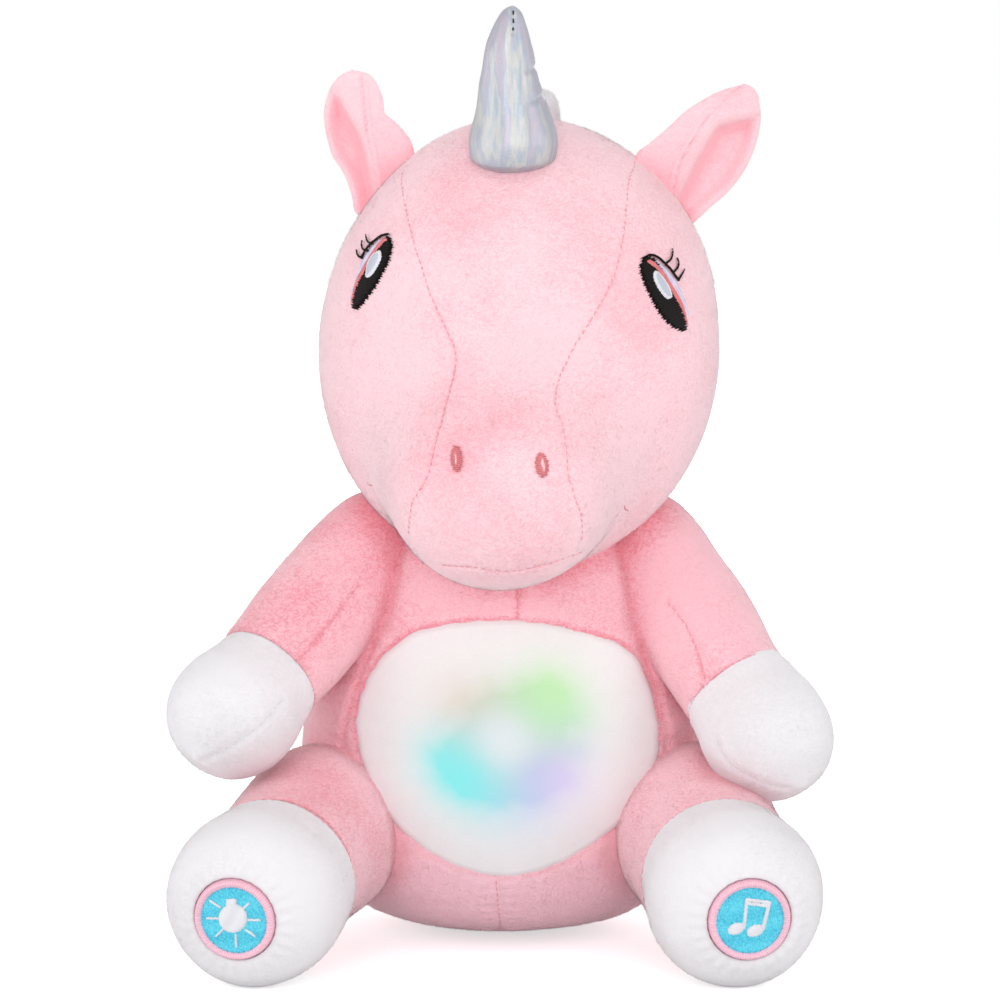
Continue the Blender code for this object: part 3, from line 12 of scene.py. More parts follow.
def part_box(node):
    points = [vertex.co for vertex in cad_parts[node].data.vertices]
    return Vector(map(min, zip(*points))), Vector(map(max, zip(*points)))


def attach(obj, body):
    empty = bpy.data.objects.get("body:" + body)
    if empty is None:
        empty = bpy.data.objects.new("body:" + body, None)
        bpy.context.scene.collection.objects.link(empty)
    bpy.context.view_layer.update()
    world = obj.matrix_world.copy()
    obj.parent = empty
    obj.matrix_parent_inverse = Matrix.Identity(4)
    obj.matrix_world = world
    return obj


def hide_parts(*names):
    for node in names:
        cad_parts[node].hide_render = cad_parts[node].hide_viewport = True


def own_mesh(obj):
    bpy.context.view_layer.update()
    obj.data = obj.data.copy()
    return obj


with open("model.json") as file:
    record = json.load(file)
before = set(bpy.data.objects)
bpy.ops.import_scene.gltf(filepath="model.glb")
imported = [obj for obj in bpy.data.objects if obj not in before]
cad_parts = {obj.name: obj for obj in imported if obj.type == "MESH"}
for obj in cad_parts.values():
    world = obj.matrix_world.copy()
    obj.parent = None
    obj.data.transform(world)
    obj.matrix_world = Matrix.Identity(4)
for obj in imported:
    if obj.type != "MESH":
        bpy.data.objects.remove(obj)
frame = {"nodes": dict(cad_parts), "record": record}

bl_info = {
    "name": "Unicorn night light",
    "version": (1, 0, 0),
    "blender": (4, 5, 0),
    "location": "View3D > Sidebar > Night light",
    "description": "Builds the plush, stitching, horn and lit belly of a seated unicorn night light",
    "category": "Object",
}

# The camera's picture, in pixels and metres
PICTURE_SIZE = 1000
METRES_PER_PIXEL = 0.000328
CAMERA_DISTANCE = 2.08
CAMERA_RISE = 6.0
TARGET_HEIGHT = 0.1416

# The stuffed forms, as the solids have them
SEAT_CUT = 0.0005
TORSO_HEIGHT = 0.158
TORSO_WIDTH = 0.134
TORSO_DEPTH = 0.124
TORSO_LEAN = 0.004
TORSO_SHARES = (
    (0.0, 0.0), (0.01, 0.25), (0.04, 0.58), (0.095, 0.79), (0.19, 0.94), (0.34, 1.0), (0.5, 0.97),
    (0.66, 0.87), (0.81, 0.72), (0.94, 0.45), (1.0, 0.0),
)
HEAD_SIZE = (0.130, 0.124, 0.150)
HEAD_PLACE = (0.0065, -0.020, 0.193)
HEAD_ROLL = 3.8
HEAD_YAW = -4.5
MUZZLE_SIZE = (0.072, 0.078, 0.070)
MUZZLE_PLACE = (0.0, -0.054, -0.037)
MUZZLE_BLEND = 0.022
NOSE_AXIS_ANGLE = -28
ARM_LENGTH = 0.127
ARM_RADIUS = 0.021
ARM_ROOT_SHARE = 0.15
CUFF_SHARE = 0.67
ARM_SHARES = (
    (0.0, 0.0), (0.03, 0.42), (0.12, 0.82), (0.28, 0.95), (0.48, 0.94), (0.67, 0.87), (0.78, 1.0),
    (0.88, 0.96), (0.96, 0.62), (1.0, 0.0),
)
SHOULDERS = {-1: (-0.0376, -0.008, 0.130), 1: (0.0445, -0.008, 0.130)}
ARM_TURNS = {-1: (43.7, 36.4), 1: (41.4, 43.2)}
LEG_LENGTH = 0.134
LEG_RADIUS = 0.028
FOOT_SHARE = 0.835
SOLE_CUFF_SHARE = 0.67
LEG_SHARES = (
    (0.0, 0.0), (0.03, 0.45), (0.12, 0.83), (0.3, 0.97), (0.5, 0.93), (0.67, 0.92), (0.82, 1.0),
    (0.92, 0.9), (0.975, 0.66), (0.994, 0.45), (1.0, 0.0),
)
FEET = {-1: (-0.0766, -0.105), 1: (0.0738, -0.105)}
LEG_TURNS = {-1: (16, 9), 1: (10, 9)}
HORN_LENGTH = 0.057
HORN_RADIUS = 0.0145
HORN_ROOT_DEPTH = 0.008
HORN_LIFT = 0.002
HORN_PLACE_ANGLE = 24
HORN_LEAN_ANGLE = 12
HORN_ASIDE = -0.0045
EAR_ROOT_DEPTH = 0.011
EAR_SPREAD_ANGLE = 40
EAR_SET_BACK_ANGLE = 6
EAR_LEANS = {-1: 27, 1: 37}
EAR_TURN_ANGLE = 18
EAR_PLANE = -0.003
FLAP_HALF_WIDTH = 0.029
FLAP_LOW = 0.024
FLAP_LEDGE_TOP = 0.032
FLAP_HIGH = 0.0966
FLAP_THICKNESS = 0.0024
LEDGE_DEPTH = 0.0047
SOUND_BOX = ((-0.0311, 0.0113, 0.0294), (0.0311, 0.0449, 0.0992))
BADGE_RADIUS = 0.0133
WELL_RADIUS = 0.01345


def tag_of(side):
    """The word that the nodes of one side of the toy carry."""
    return "left" if side < 0 else "right"


# Curves and noise

def curve_through(knots, steps):
    """Points of a smooth curve through the given ones."""
    k = np.asarray(knots, float)
    k = np.vstack([2 * k[0] - k[1], k, 2 * k[-1] - k[-2]])
    t = np.arange(steps)[:, None] / steps
    pieces = []
    for a, b, c, d in zip(k, k[1:], k[2:], k[3:]):
        square = 2 * a - 5 * b + 4 * c - d
        cube = 3 * b - a - 3 * c + d
        pieces.append((2 * b + (c - a) * t + square * t ** 2 + cube * t ** 3) / 2)
    return np.vstack(pieces + [k[-2:-1]])


def closed_curve(knots, steps):
    """Points of a smooth closed curve through the given ones, the first not repeated."""
    return curve_through(np.array(knots + knots[:1], float), steps)[:-1]


def even_steps(curve, count):
    """The same curve in steps of one length."""
    run = np.r_[0, np.cumsum(np.linalg.norm(np.diff(curve, axis=0), axis=1))]
    at = np.linspace(0, run[-1], count)
    return np.stack([np.interp(at, run, curve[:, i]) for i in range(curve.shape[1])], axis=1)


def closed_steps(knots, count):
    """A smooth closed curve through the given points in a count of even steps."""
    return even_steps(curve_through(np.array(knots + knots[:1], float), 12), count + 1)[:-1]


def outline_of(shares, length, radius, rings):
    """A stuffed form's outline as (along, radius) rows in even steps."""
    knots = np.array(shares) * (length, radius)
    curve = curve_through(knots, 2)
    curve = curve_through(curve, 6)
    curve[:, 1] = np.maximum(curve[:, 1], 0)
    return even_steps(curve, rings)


def turns(count):
    """Even turns round a circle, in radians."""
    return np.arange(count) * math.tau / count


def spans(places, line):
    """Each span of a line: its two ends, and the share along it and distance nearest to each place."""
    for a, b in zip(line, line[1:]):
        step = b - a
        share = np.clip((places - a) @ step / max(step @ step, 1e-12), 0, 1)
        yield a, b, share, np.linalg.norm(places - a - share[:, None] * step, axis=1)


NOISE_SHIFT = (11.3, 5.7, 3.1)
NOISE_MIX = (374761393, 668265263, 1274126177)
NOISE_SPREAD = 1103515245


def soft_noise(points, size, seed=0):
    """Smooth noise from -1 to 1 at each point, with lumps of a size in metres."""
    p = points / size + np.array(NOISE_SHIFT) * (seed + 1)
    cell = np.floor(p).astype(np.int64)
    share = p - cell
    share = share * share * (3 - 2 * share)
    total = np.zeros(len(points))
    for corner in np.ndindex(2, 2, 2):
        at = cell + np.array(corner)
        mixed = at @ np.array(NOISE_MIX) + seed * 97
        mixed = (mixed ^ (mixed >> 13)) * NOISE_SPREAD
        value = ((mixed ^ (mixed >> 16)) & 0xFFFF) / 32767.5 - 1
        weight = np.prod(np.where(np.array(corner) == 1, share, 1 - share), axis=1)
        total += weight * value
    return total


def eased(low, high, values):
    """0 below low, 1 above high and a soft step between them."""
    t = np.clip((values - low) / (high - low), 0, 1)
    return t * t * (3 - 2 * t)


def unit(vectors):
    """Vectors of length one."""
    return vectors / np.maximum(np.linalg.norm(vectors, axis=-1, keepdims=True), 1e-12)


# Frames and places

def frame_at(origin, axis, side=(1, 0, 0)):
    """A frame whose Z runs along an axis and whose X lies as near as it can to a side."""
    z = Vector(axis).normalized()
    y = z.cross(Vector(side)).normalized()
    x = y.cross(z)
    return Matrix.Translation(Vector(origin)) @ Matrix((x, y, z)).transposed().to_4x4()


def moved(matrix, points):
    """Points of a frame, in the part's own frame."""
    m = np.array(matrix)
    return (points.reshape(-1, 3) @ m[:3, :3].T + m[:3, 3]).reshape(points.shape)


def heading_vector(side, heading, droop):
    """A unit vector forward, turned out to one side and down."""
    flat = math.cos(math.radians(droop))
    turn = math.radians(heading)
    return Vector((side * flat * math.sin(turn), -flat * math.cos(turn), -math.sin(math.radians(droop))))


def arm_frame(side):
    """An arm's frame, with the root at its origin and the hoof along +Z."""
    run = heading_vector(side, *ARM_TURNS[side])
    return frame_at(Vector(SHOULDERS[side]) - run * ARM_LENGTH * ARM_ROOT_SHARE, run)


def leg_frame(side):
    """A leg's frame, with the root at its origin and the sole along +Z, its foot on the floor."""
    run = heading_vector(side, *LEG_TURNS[side])
    knots = curve_through(np.array(LEG_SHARES) * (LEG_LENGTH, LEG_RADIUS), 2)
    tilt = math.radians(LEG_TURNS[side][1])
    ankle = FOOT_SHARE * LEG_LENGTH
    reach = float(np.max(knots[:, 1] * math.cos(tilt) + (knots[:, 0] - ankle) * math.sin(tilt)))
    foot = Vector((FEET[side][0], FEET[side][1], reach - SEAT_CUT))
    return frame_at(foot - run * ankle, run)


def head_frame():
    """The head's frame at its centre, rolled and turned as it sits."""
    yaw = Matrix.Rotation(math.radians(HEAD_YAW), 4, "Z")
    roll = Matrix.Rotation(math.radians(HEAD_ROLL), 4, "Y")
    return Matrix.Translation(HEAD_PLACE) @ yaw @ roll


def camera_place():
    """The camera's place and the frame that it looks along."""
    rise = math.radians(CAMERA_RISE)
    spot = Vector((0, -CAMERA_DISTANCE * math.cos(rise), TARGET_HEIGHT + CAMERA_DISTANCE * math.sin(rise)))
    return spot, Matrix.Rotation(math.radians(90 - CAMERA_RISE), 3, "X")


def ray_of(px, py):
    """The line of sight through a place of the picture."""
    spot, turn = camera_place()
    share = METRES_PER_PIXEL / CAMERA_DISTANCE
    half = PICTURE_SIZE / 2
    return spot, (turn @ Vector(((px - half) * share, (half - py) * share, -1))).normalized()


def in_picture(points):
    """Where points fall in the picture, as rows of (across, down) pixels."""
    spot, turn = camera_place()
    local = (points - np.array(spot)) @ np.array(turn)
    scale = CAMERA_DISTANCE / METRES_PER_PIXEL / -local[:, 2]
    half = PICTURE_SIZE / 2
    return np.stack([half + local[:, 0] * scale, half - local[:, 1] * scale], axis=1)


# Distances from the stuffed forms

TORSO_OUTLINE = outline_of(TORSO_SHARES, TORSO_HEIGHT, TORSO_WIDTH / 2, 400)
ARM_OUTLINE = outline_of(ARM_SHARES, ARM_LENGTH, ARM_RADIUS, 300)
LEG_OUTLINE = outline_of(LEG_SHARES, LEG_LENGTH, LEG_RADIUS, 300)


def torso_gap(points):
    """About how far points lie outside the torso, below zero inside."""
    along = points[:, 2] + SEAT_CUT
    radius = np.interp(along, TORSO_OUTLINE[:, 0], TORSO_OUTLINE[:, 1], left=-0.02, right=-0.02)
    across = points[:, 0] - TORSO_LEAN * along / TORSO_HEIGHT
    return np.hypot(across, points[:, 1] * TORSO_WIDTH / TORSO_DEPTH) - radius


def limb_gap(points, matrix, outline):
    """About how far points lie outside a limb."""
    local = moved(matrix.inverted(), points)
    radius = np.interp(local[:, 2], outline[:, 0], outline[:, 1], left=-0.02, right=-0.02)
    return np.hypot(local[:, 0], local[:, 1]) - radius


def arm_gap(points, side):
    """About how far points lie outside an arm."""
    return limb_gap(points, arm_frame(side), ARM_OUTLINE)


def leg_gap(points, side):
    """About how far points lie outside a leg."""
    return limb_gap(points, leg_frame(side), LEG_OUTLINE)


def lobe_gap(points, centre, size):
    """About how far points lie outside an ellipsoid."""
    radii = np.array(size) / 2
    return (np.linalg.norm((points - np.array(centre)) / radii, axis=-1) - 1) * radii.min()


def head_field(points):
    """About how far points of the head's frame lie outside the skull and muzzle, blended."""
    skull = lobe_gap(points, (0, 0, 0), HEAD_SIZE)
    muzzle = lobe_gap(points, MUZZLE_PLACE, MUZZLE_SIZE)
    mix = np.maximum(0, MUZZLE_BLEND - np.abs(skull - muzzle)) / MUZZLE_BLEND
    return np.minimum(skull, muzzle) - mix * mix * MUZZLE_BLEND / 4


def head_gap(points):
    """About how far points lie outside the head."""
    return head_field(moved(head_frame().inverted(), points))


def head_reach(directions):
    """The distances from the head's centre to its surface in directions of its frame."""
    low = np.zeros(len(directions))
    high = np.full(len(directions), 0.21)
    for _ in range(30):
        middle = (low + high) / 2
        inside = head_field(directions * middle[:, None]) < 0
        low = np.where(inside, middle, low)
        high = np.where(inside, high, middle)
    return low


# Skins

def grid_quads(index):
    """The quads between the rows of a grid of point numbers."""
    return np.stack([index[:-1, :-1], index[1:, :-1], index[1:, 1:], index[:-1, 1:]], axis=-1).reshape(-1, 4)


def ring_faces(rings, sides):
    """The point numbers of rings after a pole, the quads between them and the triangles to the pole."""
    index = 1 + np.arange(rings * sides).reshape(rings, sides)
    ahead = np.roll(index, -1, axis=1)
    quads = np.stack([index[:-1], ahead[:-1], ahead[1:], index[1:]], axis=-1).reshape(-1, 4)
    return index, quads, np.stack([ahead[0], index[0], np.zeros(sides, int)], axis=-1)


def rim_walls(rim, count):
    """The quads between a rim's points and the ones that come a count after them."""
    ahead = np.roll(rim, -1)
    return np.stack([rim, rim + count, ahead + count, ahead], axis=-1)


def ring_skin(grid):
    """A closed skin over rings of points, as points, quads and triangles, with a pole at each end."""
    rings, sides = grid.shape[:2]
    points = np.vstack([grid[0].mean(0), grid.reshape(-1, 3), grid[-1].mean(0)])
    index, quads, first = ring_faces(rings, sides)
    last = np.stack([index[-1], np.roll(index[-1], -1), np.full(sides, len(points) - 1)], axis=-1)
    tris = np.vstack([first, last])
    a, b, c = (points[quads[:, i]] for i in (0, 1, 2))
    if np.einsum("ij,ij->i", a, np.cross(b, c)).sum() < 0:
        quads = quads[:, ::-1]
        tris = tris[:, ::-1]
    return points, quads, tris


def turned(curve, matrix, sides):
    """A skin turned round a frame's axis from (along, radius) rows."""
    turn = turns(sides)
    radius = curve[:, 1:]
    along = np.repeat(curve[:, :1], sides, axis=1)
    return ring_skin(moved(matrix, np.stack([radius * np.cos(turn), radius * np.sin(turn), along], axis=-1)))


def skin_normals(points, quads, tris):
    """The outward direction at each point of a skin."""
    normals = np.zeros_like(points)
    across = np.cross(points[quads[:, 2]] - points[quads[:, 0]], points[quads[:, 3]] - points[quads[:, 1]])
    for i in range(4):
        np.add.at(normals, quads[:, i], across)
    if len(tris):
        flat = np.cross(points[tris[:, 1]] - points[tris[:, 0]], points[tris[:, 2]] - points[tris[:, 0]])
        for i in range(3):
            np.add.at(normals, tris[:, i], flat)
    return unit(normals)


def seam_reach(points, line):
    """How far points lie from a seam, and how far along it the nearest place is."""
    near = np.full(len(points), 1e9)
    where = np.zeros(len(points))
    run = 0.0
    for a, b, share, gap in spans(points, line):
        length = np.linalg.norm(b - a)
        closer = gap < near
        near[closer] = gap[closer]
        where[closer] = run + share[closer] * length
        run += length
    return near, where


class Skin:
    """A stuffed piece's surface while it is shaped: its points, faces, tone and pile."""

    def __init__(self, points, quads, tris):
        self.points = points
        self.quads = quads
        self.tris = tris
        self.tone = np.zeros(len(points))
        self.pile = np.ones(len(points))
        self.normals = skin_normals(points, quads, tris)

    def faces(self):
        """Its quads and triangles in one list."""
        return self.quads.tolist() + self.tris.tolist()

    def tree(self):
        """A search tree over it."""
        return drop_tree(self.points, self.quads, self.tris)

    def rest_on_floor(self):
        """Flattens what reaches below the floor."""
        self.points[:, 2] = np.maximum(self.points[:, 2], 0.0)

    def mark(self, tones):
        """Paints shade: deepens the tone where it is fainter than the given one."""
        self.tone = np.maximum(self.tone, tones)

    def push(self, heights):
        """Moves the surface in or out."""
        self.points = self.points + self.normals * heights[:, None]
        self.normals = skin_normals(self.points, self.quads, self.tris)

    def plump(self, size, height, seed):
        """Gives the stuffing its soft lumps."""
        fine = soft_noise(self.points, size / 3, seed + 7) / 4
        self.push((soft_noise(self.points, size, seed) + fine) * height)

    def sew(self, line, depth, width, pucker=0.0, pitch=0.004, tone=0.72):
        """Draws the surface in along a seam, with small puckers beside it, and paints shade into the groove."""
        near, where = seam_reach(self.points, line)
        groove = np.exp(-(near / width) ** 2)
        waves = np.sin(where / pitch * math.tau + 2.5 * soft_noise(self.points, 0.012, 5))
        beside = np.exp(-((near - 2.2 * width) / (1.6 * width)) ** 2)
        self.push(-depth * groove + depth * 0.25 * beside + pucker * beside * waves)
        # Painted shade along the seam's groove.
        self.mark(tone * np.exp(-(near / (width * 0.75)) ** 2))
        self.pile = self.pile * (1 - 0.6 * np.exp(-(near / (width * 0.6)) ** 2))

    def crease_and_paint_shade(self, gaps, reach=0.006, depth=0.0012, tone=0.5):
        """Draws in the surface where it meets another form, and paints shade there."""
        share = np.exp(-(np.maximum(gaps, 0) / reach) ** 2)
        self.push(-depth * share)
        # Painted shade where the forms meet.
        self.mark(tone * share)
        self.pile = np.where(gaps < -0.001, 0, self.pile)

    def blades(self, density, length, width, nap, lean, seed):
        """Short pile over the surface: corner points, outward directions and tones of one triangle each."""
        rng = np.random.default_rng(seed)
        q = self.quads
        tris = np.vstack([q[:, (0, 1, 2)], q[:, (0, 2, 3)], self.tris])
        corners = self.points[tris]
        across = np.cross(corners[:, 1] - corners[:, 0], corners[:, 2] - corners[:, 0])
        area = np.linalg.norm(across, axis=1) / 2
        area = area * (self.pile[tris].mean(axis=1) > 0.02)
        count = int(area.sum() * density)
        pick = rng.choice(len(tris), count, p=area / area.sum())
        u, v = rng.random(count), rng.random(count)
        flip = u + v > 1
        u[flip], v[flip] = 1 - u[flip], 1 - v[flip]
        weight = np.stack([1 - u - v, u, v], axis=1)
        root = np.einsum("ij,ijk->ik", weight, corners[pick])
        out = unit(np.einsum("ij,ijk->ik", weight, self.normals[tris[pick]]))
        keep = np.einsum("ij,ij->i", weight, self.pile[tris[pick]])
        tone = np.einsum("ij,ij->i", weight, self.tone[tris[pick]])
        flow = nap(root) if callable(nap) else np.tile(np.array(nap, float), (count, 1))
        flow = flow + 0.7 * np.stack([soft_noise(root, 0.018, seed + i) for i in range(3)], axis=1)
        flow = unit(flow - out * np.einsum("ij,ij->i", flow, out)[:, None])
        way = unit(out * (1 - lean) + flow * lean + rng.normal(0, 0.16, (count, 3)))
        side = unit(np.cross(way, out)) * (width / 2)
        tall = length * keep * rng.uniform(0.6, 1.15, count)
        tips = root + way * tall[:, None]
        base = root - out * 0.0002
        points = np.stack([base + side, base - side, tips], axis=1)
        facing = np.cross(points[:, 1] - points[:, 0], points[:, 2] - points[:, 0])
        wrong = np.einsum("ij,ij->i", facing, out) < 0
        points[wrong] = points[wrong][:, (1, 0, 2)]
        normal = unit(out * 0.85 + way * 0.25)
        ripple = soft_noise(root * (1, 1, 2.2), 0.0035, seed + 9)
        # Each tuft keeps the painted shade and light of the skin beneath it, with a random tone of its own.
        tones = np.clip(tone + 0.16 * ripple + rng.normal(0, 0.11, count), -0.6, 1)
        return points.reshape(-1, 3), np.repeat(normal, 3, axis=0), np.repeat(tones, 3)


def new_piece(name, points, faces, material, tones=None, normals=None):
    """A piece made from points and faces, with its material and the tone of each point."""
    mesh = bpy.data.meshes.new(name)
    mesh.from_pydata(np.asarray(points).tolist(), [], faces)
    mesh.materials.append(material)
    mesh.shade_smooth()
    if tones is not None:
        tone = mesh.attributes.new("tone", "FLOAT", "POINT")
        tone.data.foreach_set("value", np.asarray(tones, dtype=np.float32))
    if normals is not None:
        mesh.normals_split_custom_set_from_vertices(normals.tolist())
    piece = bpy.data.objects.new(name, mesh)
    bpy.context.scene.collection.objects.link(piece)
    return piece


def settle(piece, body, node=None):
    """Rides a piece on its body, in place of a solid where one is given."""
    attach(piece, body)
    if node:
        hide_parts(node)


def pile_over(skin, look, nap, seed, length=1.0, density=1.0, lean=0.8):
    """The pile of a skin, as long, wide and dense as the settings say."""
    tufts = look.pile_density * 1e6 * density
    return skin.blades(tufts, look.pile_length * length, look.pile_width, nap, lean, seed)


def hair_faces(count, hairs):
    """The triangles of pile whose points come after a count of others."""
    return (count + np.arange(len(hairs)).reshape(-1, 3)).tolist()


def plush_piece(name, skin, material, look, nap, seed, length=1.0, density=1.0, lean=0.8):
    """A stuffed piece: its skin with pile over it."""
    hairs, hair_normals, hair_tones = pile_over(skin, look, nap, seed, length, density, lean)
    faces = skin.faces() + hair_faces(len(skin.points), hairs)
    normals = np.vstack([skin.normals, hair_normals])
    tones = np.r_[skin.tone, hair_tones]
    return new_piece(name, np.vstack([skin.points, hairs]), faces, material, tones, normals)


THREAD_SIDES = 5
THREAD_TAPER = 0.75
THREAD_FLATNESS = 0.8


def thread_row(name, lines, skin, material, body, pitch=0.0024, length=0.0019, radius=0.0002, seed=1):
    """Rows of small stitches lying in the seams of a stuffed piece."""
    tree = skin.tree()
    rng = np.random.default_rng(seed)
    turn = turns(THREAD_SIDES)
    ring = np.stack([turn * 0, np.cos(turn), np.sin(turn) * THREAD_FLATNESS], axis=1)
    waist = (THREAD_TAPER, 0, 0)
    shape = np.vstack([[[-1, 0, 0]], ring - waist, ring + waist, [[1, 0, 0]]])
    pairs = [(1 + i, 1 + (i + 1) % THREAD_SIDES) for i in range(THREAD_SIDES)]
    faces = [(0, b, a) for a, b in pairs]
    faces += [(a, b, b + THREAD_SIDES, a + THREAD_SIDES) for a, b in pairs]
    faces += [(a + THREAD_SIDES, b + THREAD_SIDES, len(shape) - 1) for a, b in pairs]
    points, all_faces = [], []
    for line in lines:
        steps = max(int(np.linalg.norm(np.diff(line, axis=0), axis=1).sum() / pitch), 1)
        stops = even_steps(np.asarray(line), 2 * steps + 1)
        for first, middle, last in zip(stops[:-2:2], stops[1:-1:2], stops[2::2]):
            spot, out, _, _ = tree.find_nearest(Vector(middle))
            out = np.array(out)
            way = unit((last - first) + rng.normal(0, 0.12, 3) * pitch)
            side = unit(np.cross(out, way))
            half = length / 2 * rng.uniform(0.7, 1.15)
            local = shape * (half, radius, radius)
            all_faces += [tuple(len(points) * len(shape) + i for i in face) for face in faces]
            points.append(np.array(spot) + local @ np.stack([way, side, out]) + out * radius * 0.3)
    settle(new_piece(name, np.vstack(points), all_faces, material), body)


def cut_away(piece, cutter):
    """Cuts one closed piece out of another and drops the cutter."""
    modifier = piece.modifiers.new("cut", "BOOLEAN")
    modifier.operation = "DIFFERENCE"
    modifier.object = cutter
    bpy.context.view_layer.update()
    depsgraph = bpy.context.evaluated_depsgraph_get()
    mesh = bpy.data.meshes.new_from_object(piece.evaluated_get(depsgraph))
    piece.modifiers.clear()
    piece.data = mesh
    bpy.data.objects.remove(cutter)


def box_piece(name, low, high, material):
    """A plain box between two corners, for cutting."""
    (x0, y0, z0), (x1, y1, z1) = low, high
    points = [(x, y, z) for x in (x0, x1) for y in (y0, y1) for z in (z0, z1)]
    faces = [(0, 1, 3, 2), (4, 6, 7, 5), (0, 4, 5, 1), (2, 3, 7, 6), (0, 2, 6, 4), (1, 5, 7, 3)]
    piece = new_piece(name, points, faces, material)
    piece.data.shade_flat()
    return piece


def drop_tree(points, quads, tris):
    """A search tree over a skin, for lines of sight."""
    return BVHTree.FromPolygons(points.tolist(), quads.tolist() + tris.tolist())


def seen_on(tree, places):
    """The points of a skin that the camera sees at places of the picture."""
    found = []
    for px, py in places:
        hit = tree.ray_cast(*ray_of(px, py))[0]
        if hit is not None:
            found.append(tuple(hit))
    return np.array(found)


def drawn(tree, places, steps=3):
    """A smooth line on a skin through places of the picture."""
    return curve_through(seen_on(tree, places), steps)


# Materials

class Nodes:
    """Adds nodes to a new material or world from left to right."""

    def __init__(self, name, kind="materials", shader="Principled BSDF"):
        self.made = getattr(bpy.data, kind).new(name)
        self.made.use_nodes = True
        self.tree = self.made.node_tree
        self.shader = self.tree.nodes[shader]
        self.step = 0

    def link(self, value, socket):
        """Links an output to an input, or sets the input to a value."""
        if isinstance(value, bpy.types.NodeSocket):
            self.tree.links.new(value, socket)
        else:
            socket.default_value = value

    def add(self, kind, **values):
        """A node with its own settings, and links or values for its inputs."""
        node = self.tree.nodes.new(kind)
        self.step += 1
        node.location = (-1500 + 190 * (self.step % 8), 300 - 200 * (self.step // 8))
        for key, value in values.items():
            if hasattr(node, key) and key not in node.inputs:
                setattr(node, key, value)
            else:
                self.link(value, node.inputs[key])
        return node

    def put(self, **values):
        """Links or sets inputs of the shader, whose names are given with _ for each space."""
        for key, value in values.items():
            self.link(value, self.shader.inputs[key.replace("_", " ")])

    def noise(self, vector, scale, detail=2.0, rough=0.5, waves=0.0):
        """A noise's grey value."""
        node = self.add(
            "ShaderNodeTexNoise", Vector=vector, Scale=scale, Detail=detail, Roughness=rough,
            Distortion=waves)
        return node.outputs["Fac"]

    def stretched(self, scale=(1, 1, 1)):
        """The piece's own coordinates, stretched along each axis."""
        place = self.add("ShaderNodeTexCoord").outputs["Object"]
        return self.add("ShaderNodeMapping", Vector=place, Scale=scale).outputs["Vector"]

    def tone(self):
        """The tone that each point of the piece carries."""
        return self.add("ShaderNodeAttribute", attribute_name="tone").outputs["Fac"]

    def rim(self, blend, power, strength):
        """How much a surface turns away from the eye."""
        facing = self.add("ShaderNodeLayerWeight", Blend=blend).outputs["Facing"]
        return self.maths("MULTIPLY", self.maths("POWER", facing, power), strength, clamp=True)

    def seen(self):
        """1 for what the camera sees, straight, in gloss or through glass, and 0 for other light."""
        path = self.add("ShaderNodeLightPath").outputs
        mirrored = self.maths("MAXIMUM", path["Is Glossy Ray"], path["Is Transmission Ray"])
        return self.maths("MAXIMUM", path["Is Camera Ray"], mirrored)

    def maths(self, operation, a, b=0.0, c=0.0, clamp=False):
        """One sum of two or three values."""
        node = self.tree.nodes.new("ShaderNodeMath")
        node.operation = operation
        node.use_clamp = clamp
        for value, socket in zip((a, b, c), node.inputs):
            self.link(value, socket)
        return node.outputs[0]

    def scaled(self, vector, share):
        """A vector or colour times a value."""
        node = self.add("ShaderNodeVectorMath", operation="SCALE", Scale=share)
        self.link(vector, node.inputs[0])
        return node.outputs["Vector"]

    def blend(self, share, first, second):
        """Two colours mixed by a share."""
        node = self.tree.nodes.new("ShaderNodeMix")
        node.data_type = "RGBA"
        self.link(share, node.inputs[0])
        for value, socket in ((first, node.inputs[6]), (second, node.inputs[7])):
            self.link((*value[:3], 1.0) if isinstance(value, tuple) else value, socket)
        return node.outputs[2]

    def bump(self, height, distance, strength=1.0):
        """A bump's normal, linked to the shader."""
        self.bump_node = self.add("ShaderNodeBump", Strength=strength, Distance=distance, Height=height)
        self.put(Normal=self.bump_node.outputs["Normal"])

    def face_out(self):
        """Lights both faces of a tuft of pile by the cloth's own outward direction."""
        surface = self.add("ShaderNodeNewGeometry").outputs
        turn = self.maths("MULTIPLY_ADD", surface["Backfacing"], -2.0, c=1.0)
        self.link(self.scaled(surface["Normal"], turn), self.bump_node.inputs["Normal"])


# The palest pink: the pile's random pale patches, and painted light where a piece's tone falls far below zero,
# as on the torso's lower front.
PALE_PATCH_AND_PAINTED_LIGHT = (1.0, 0.64, 0.72)
PALE_PATCH_AND_PAINTED_LIGHT_START = -0.6


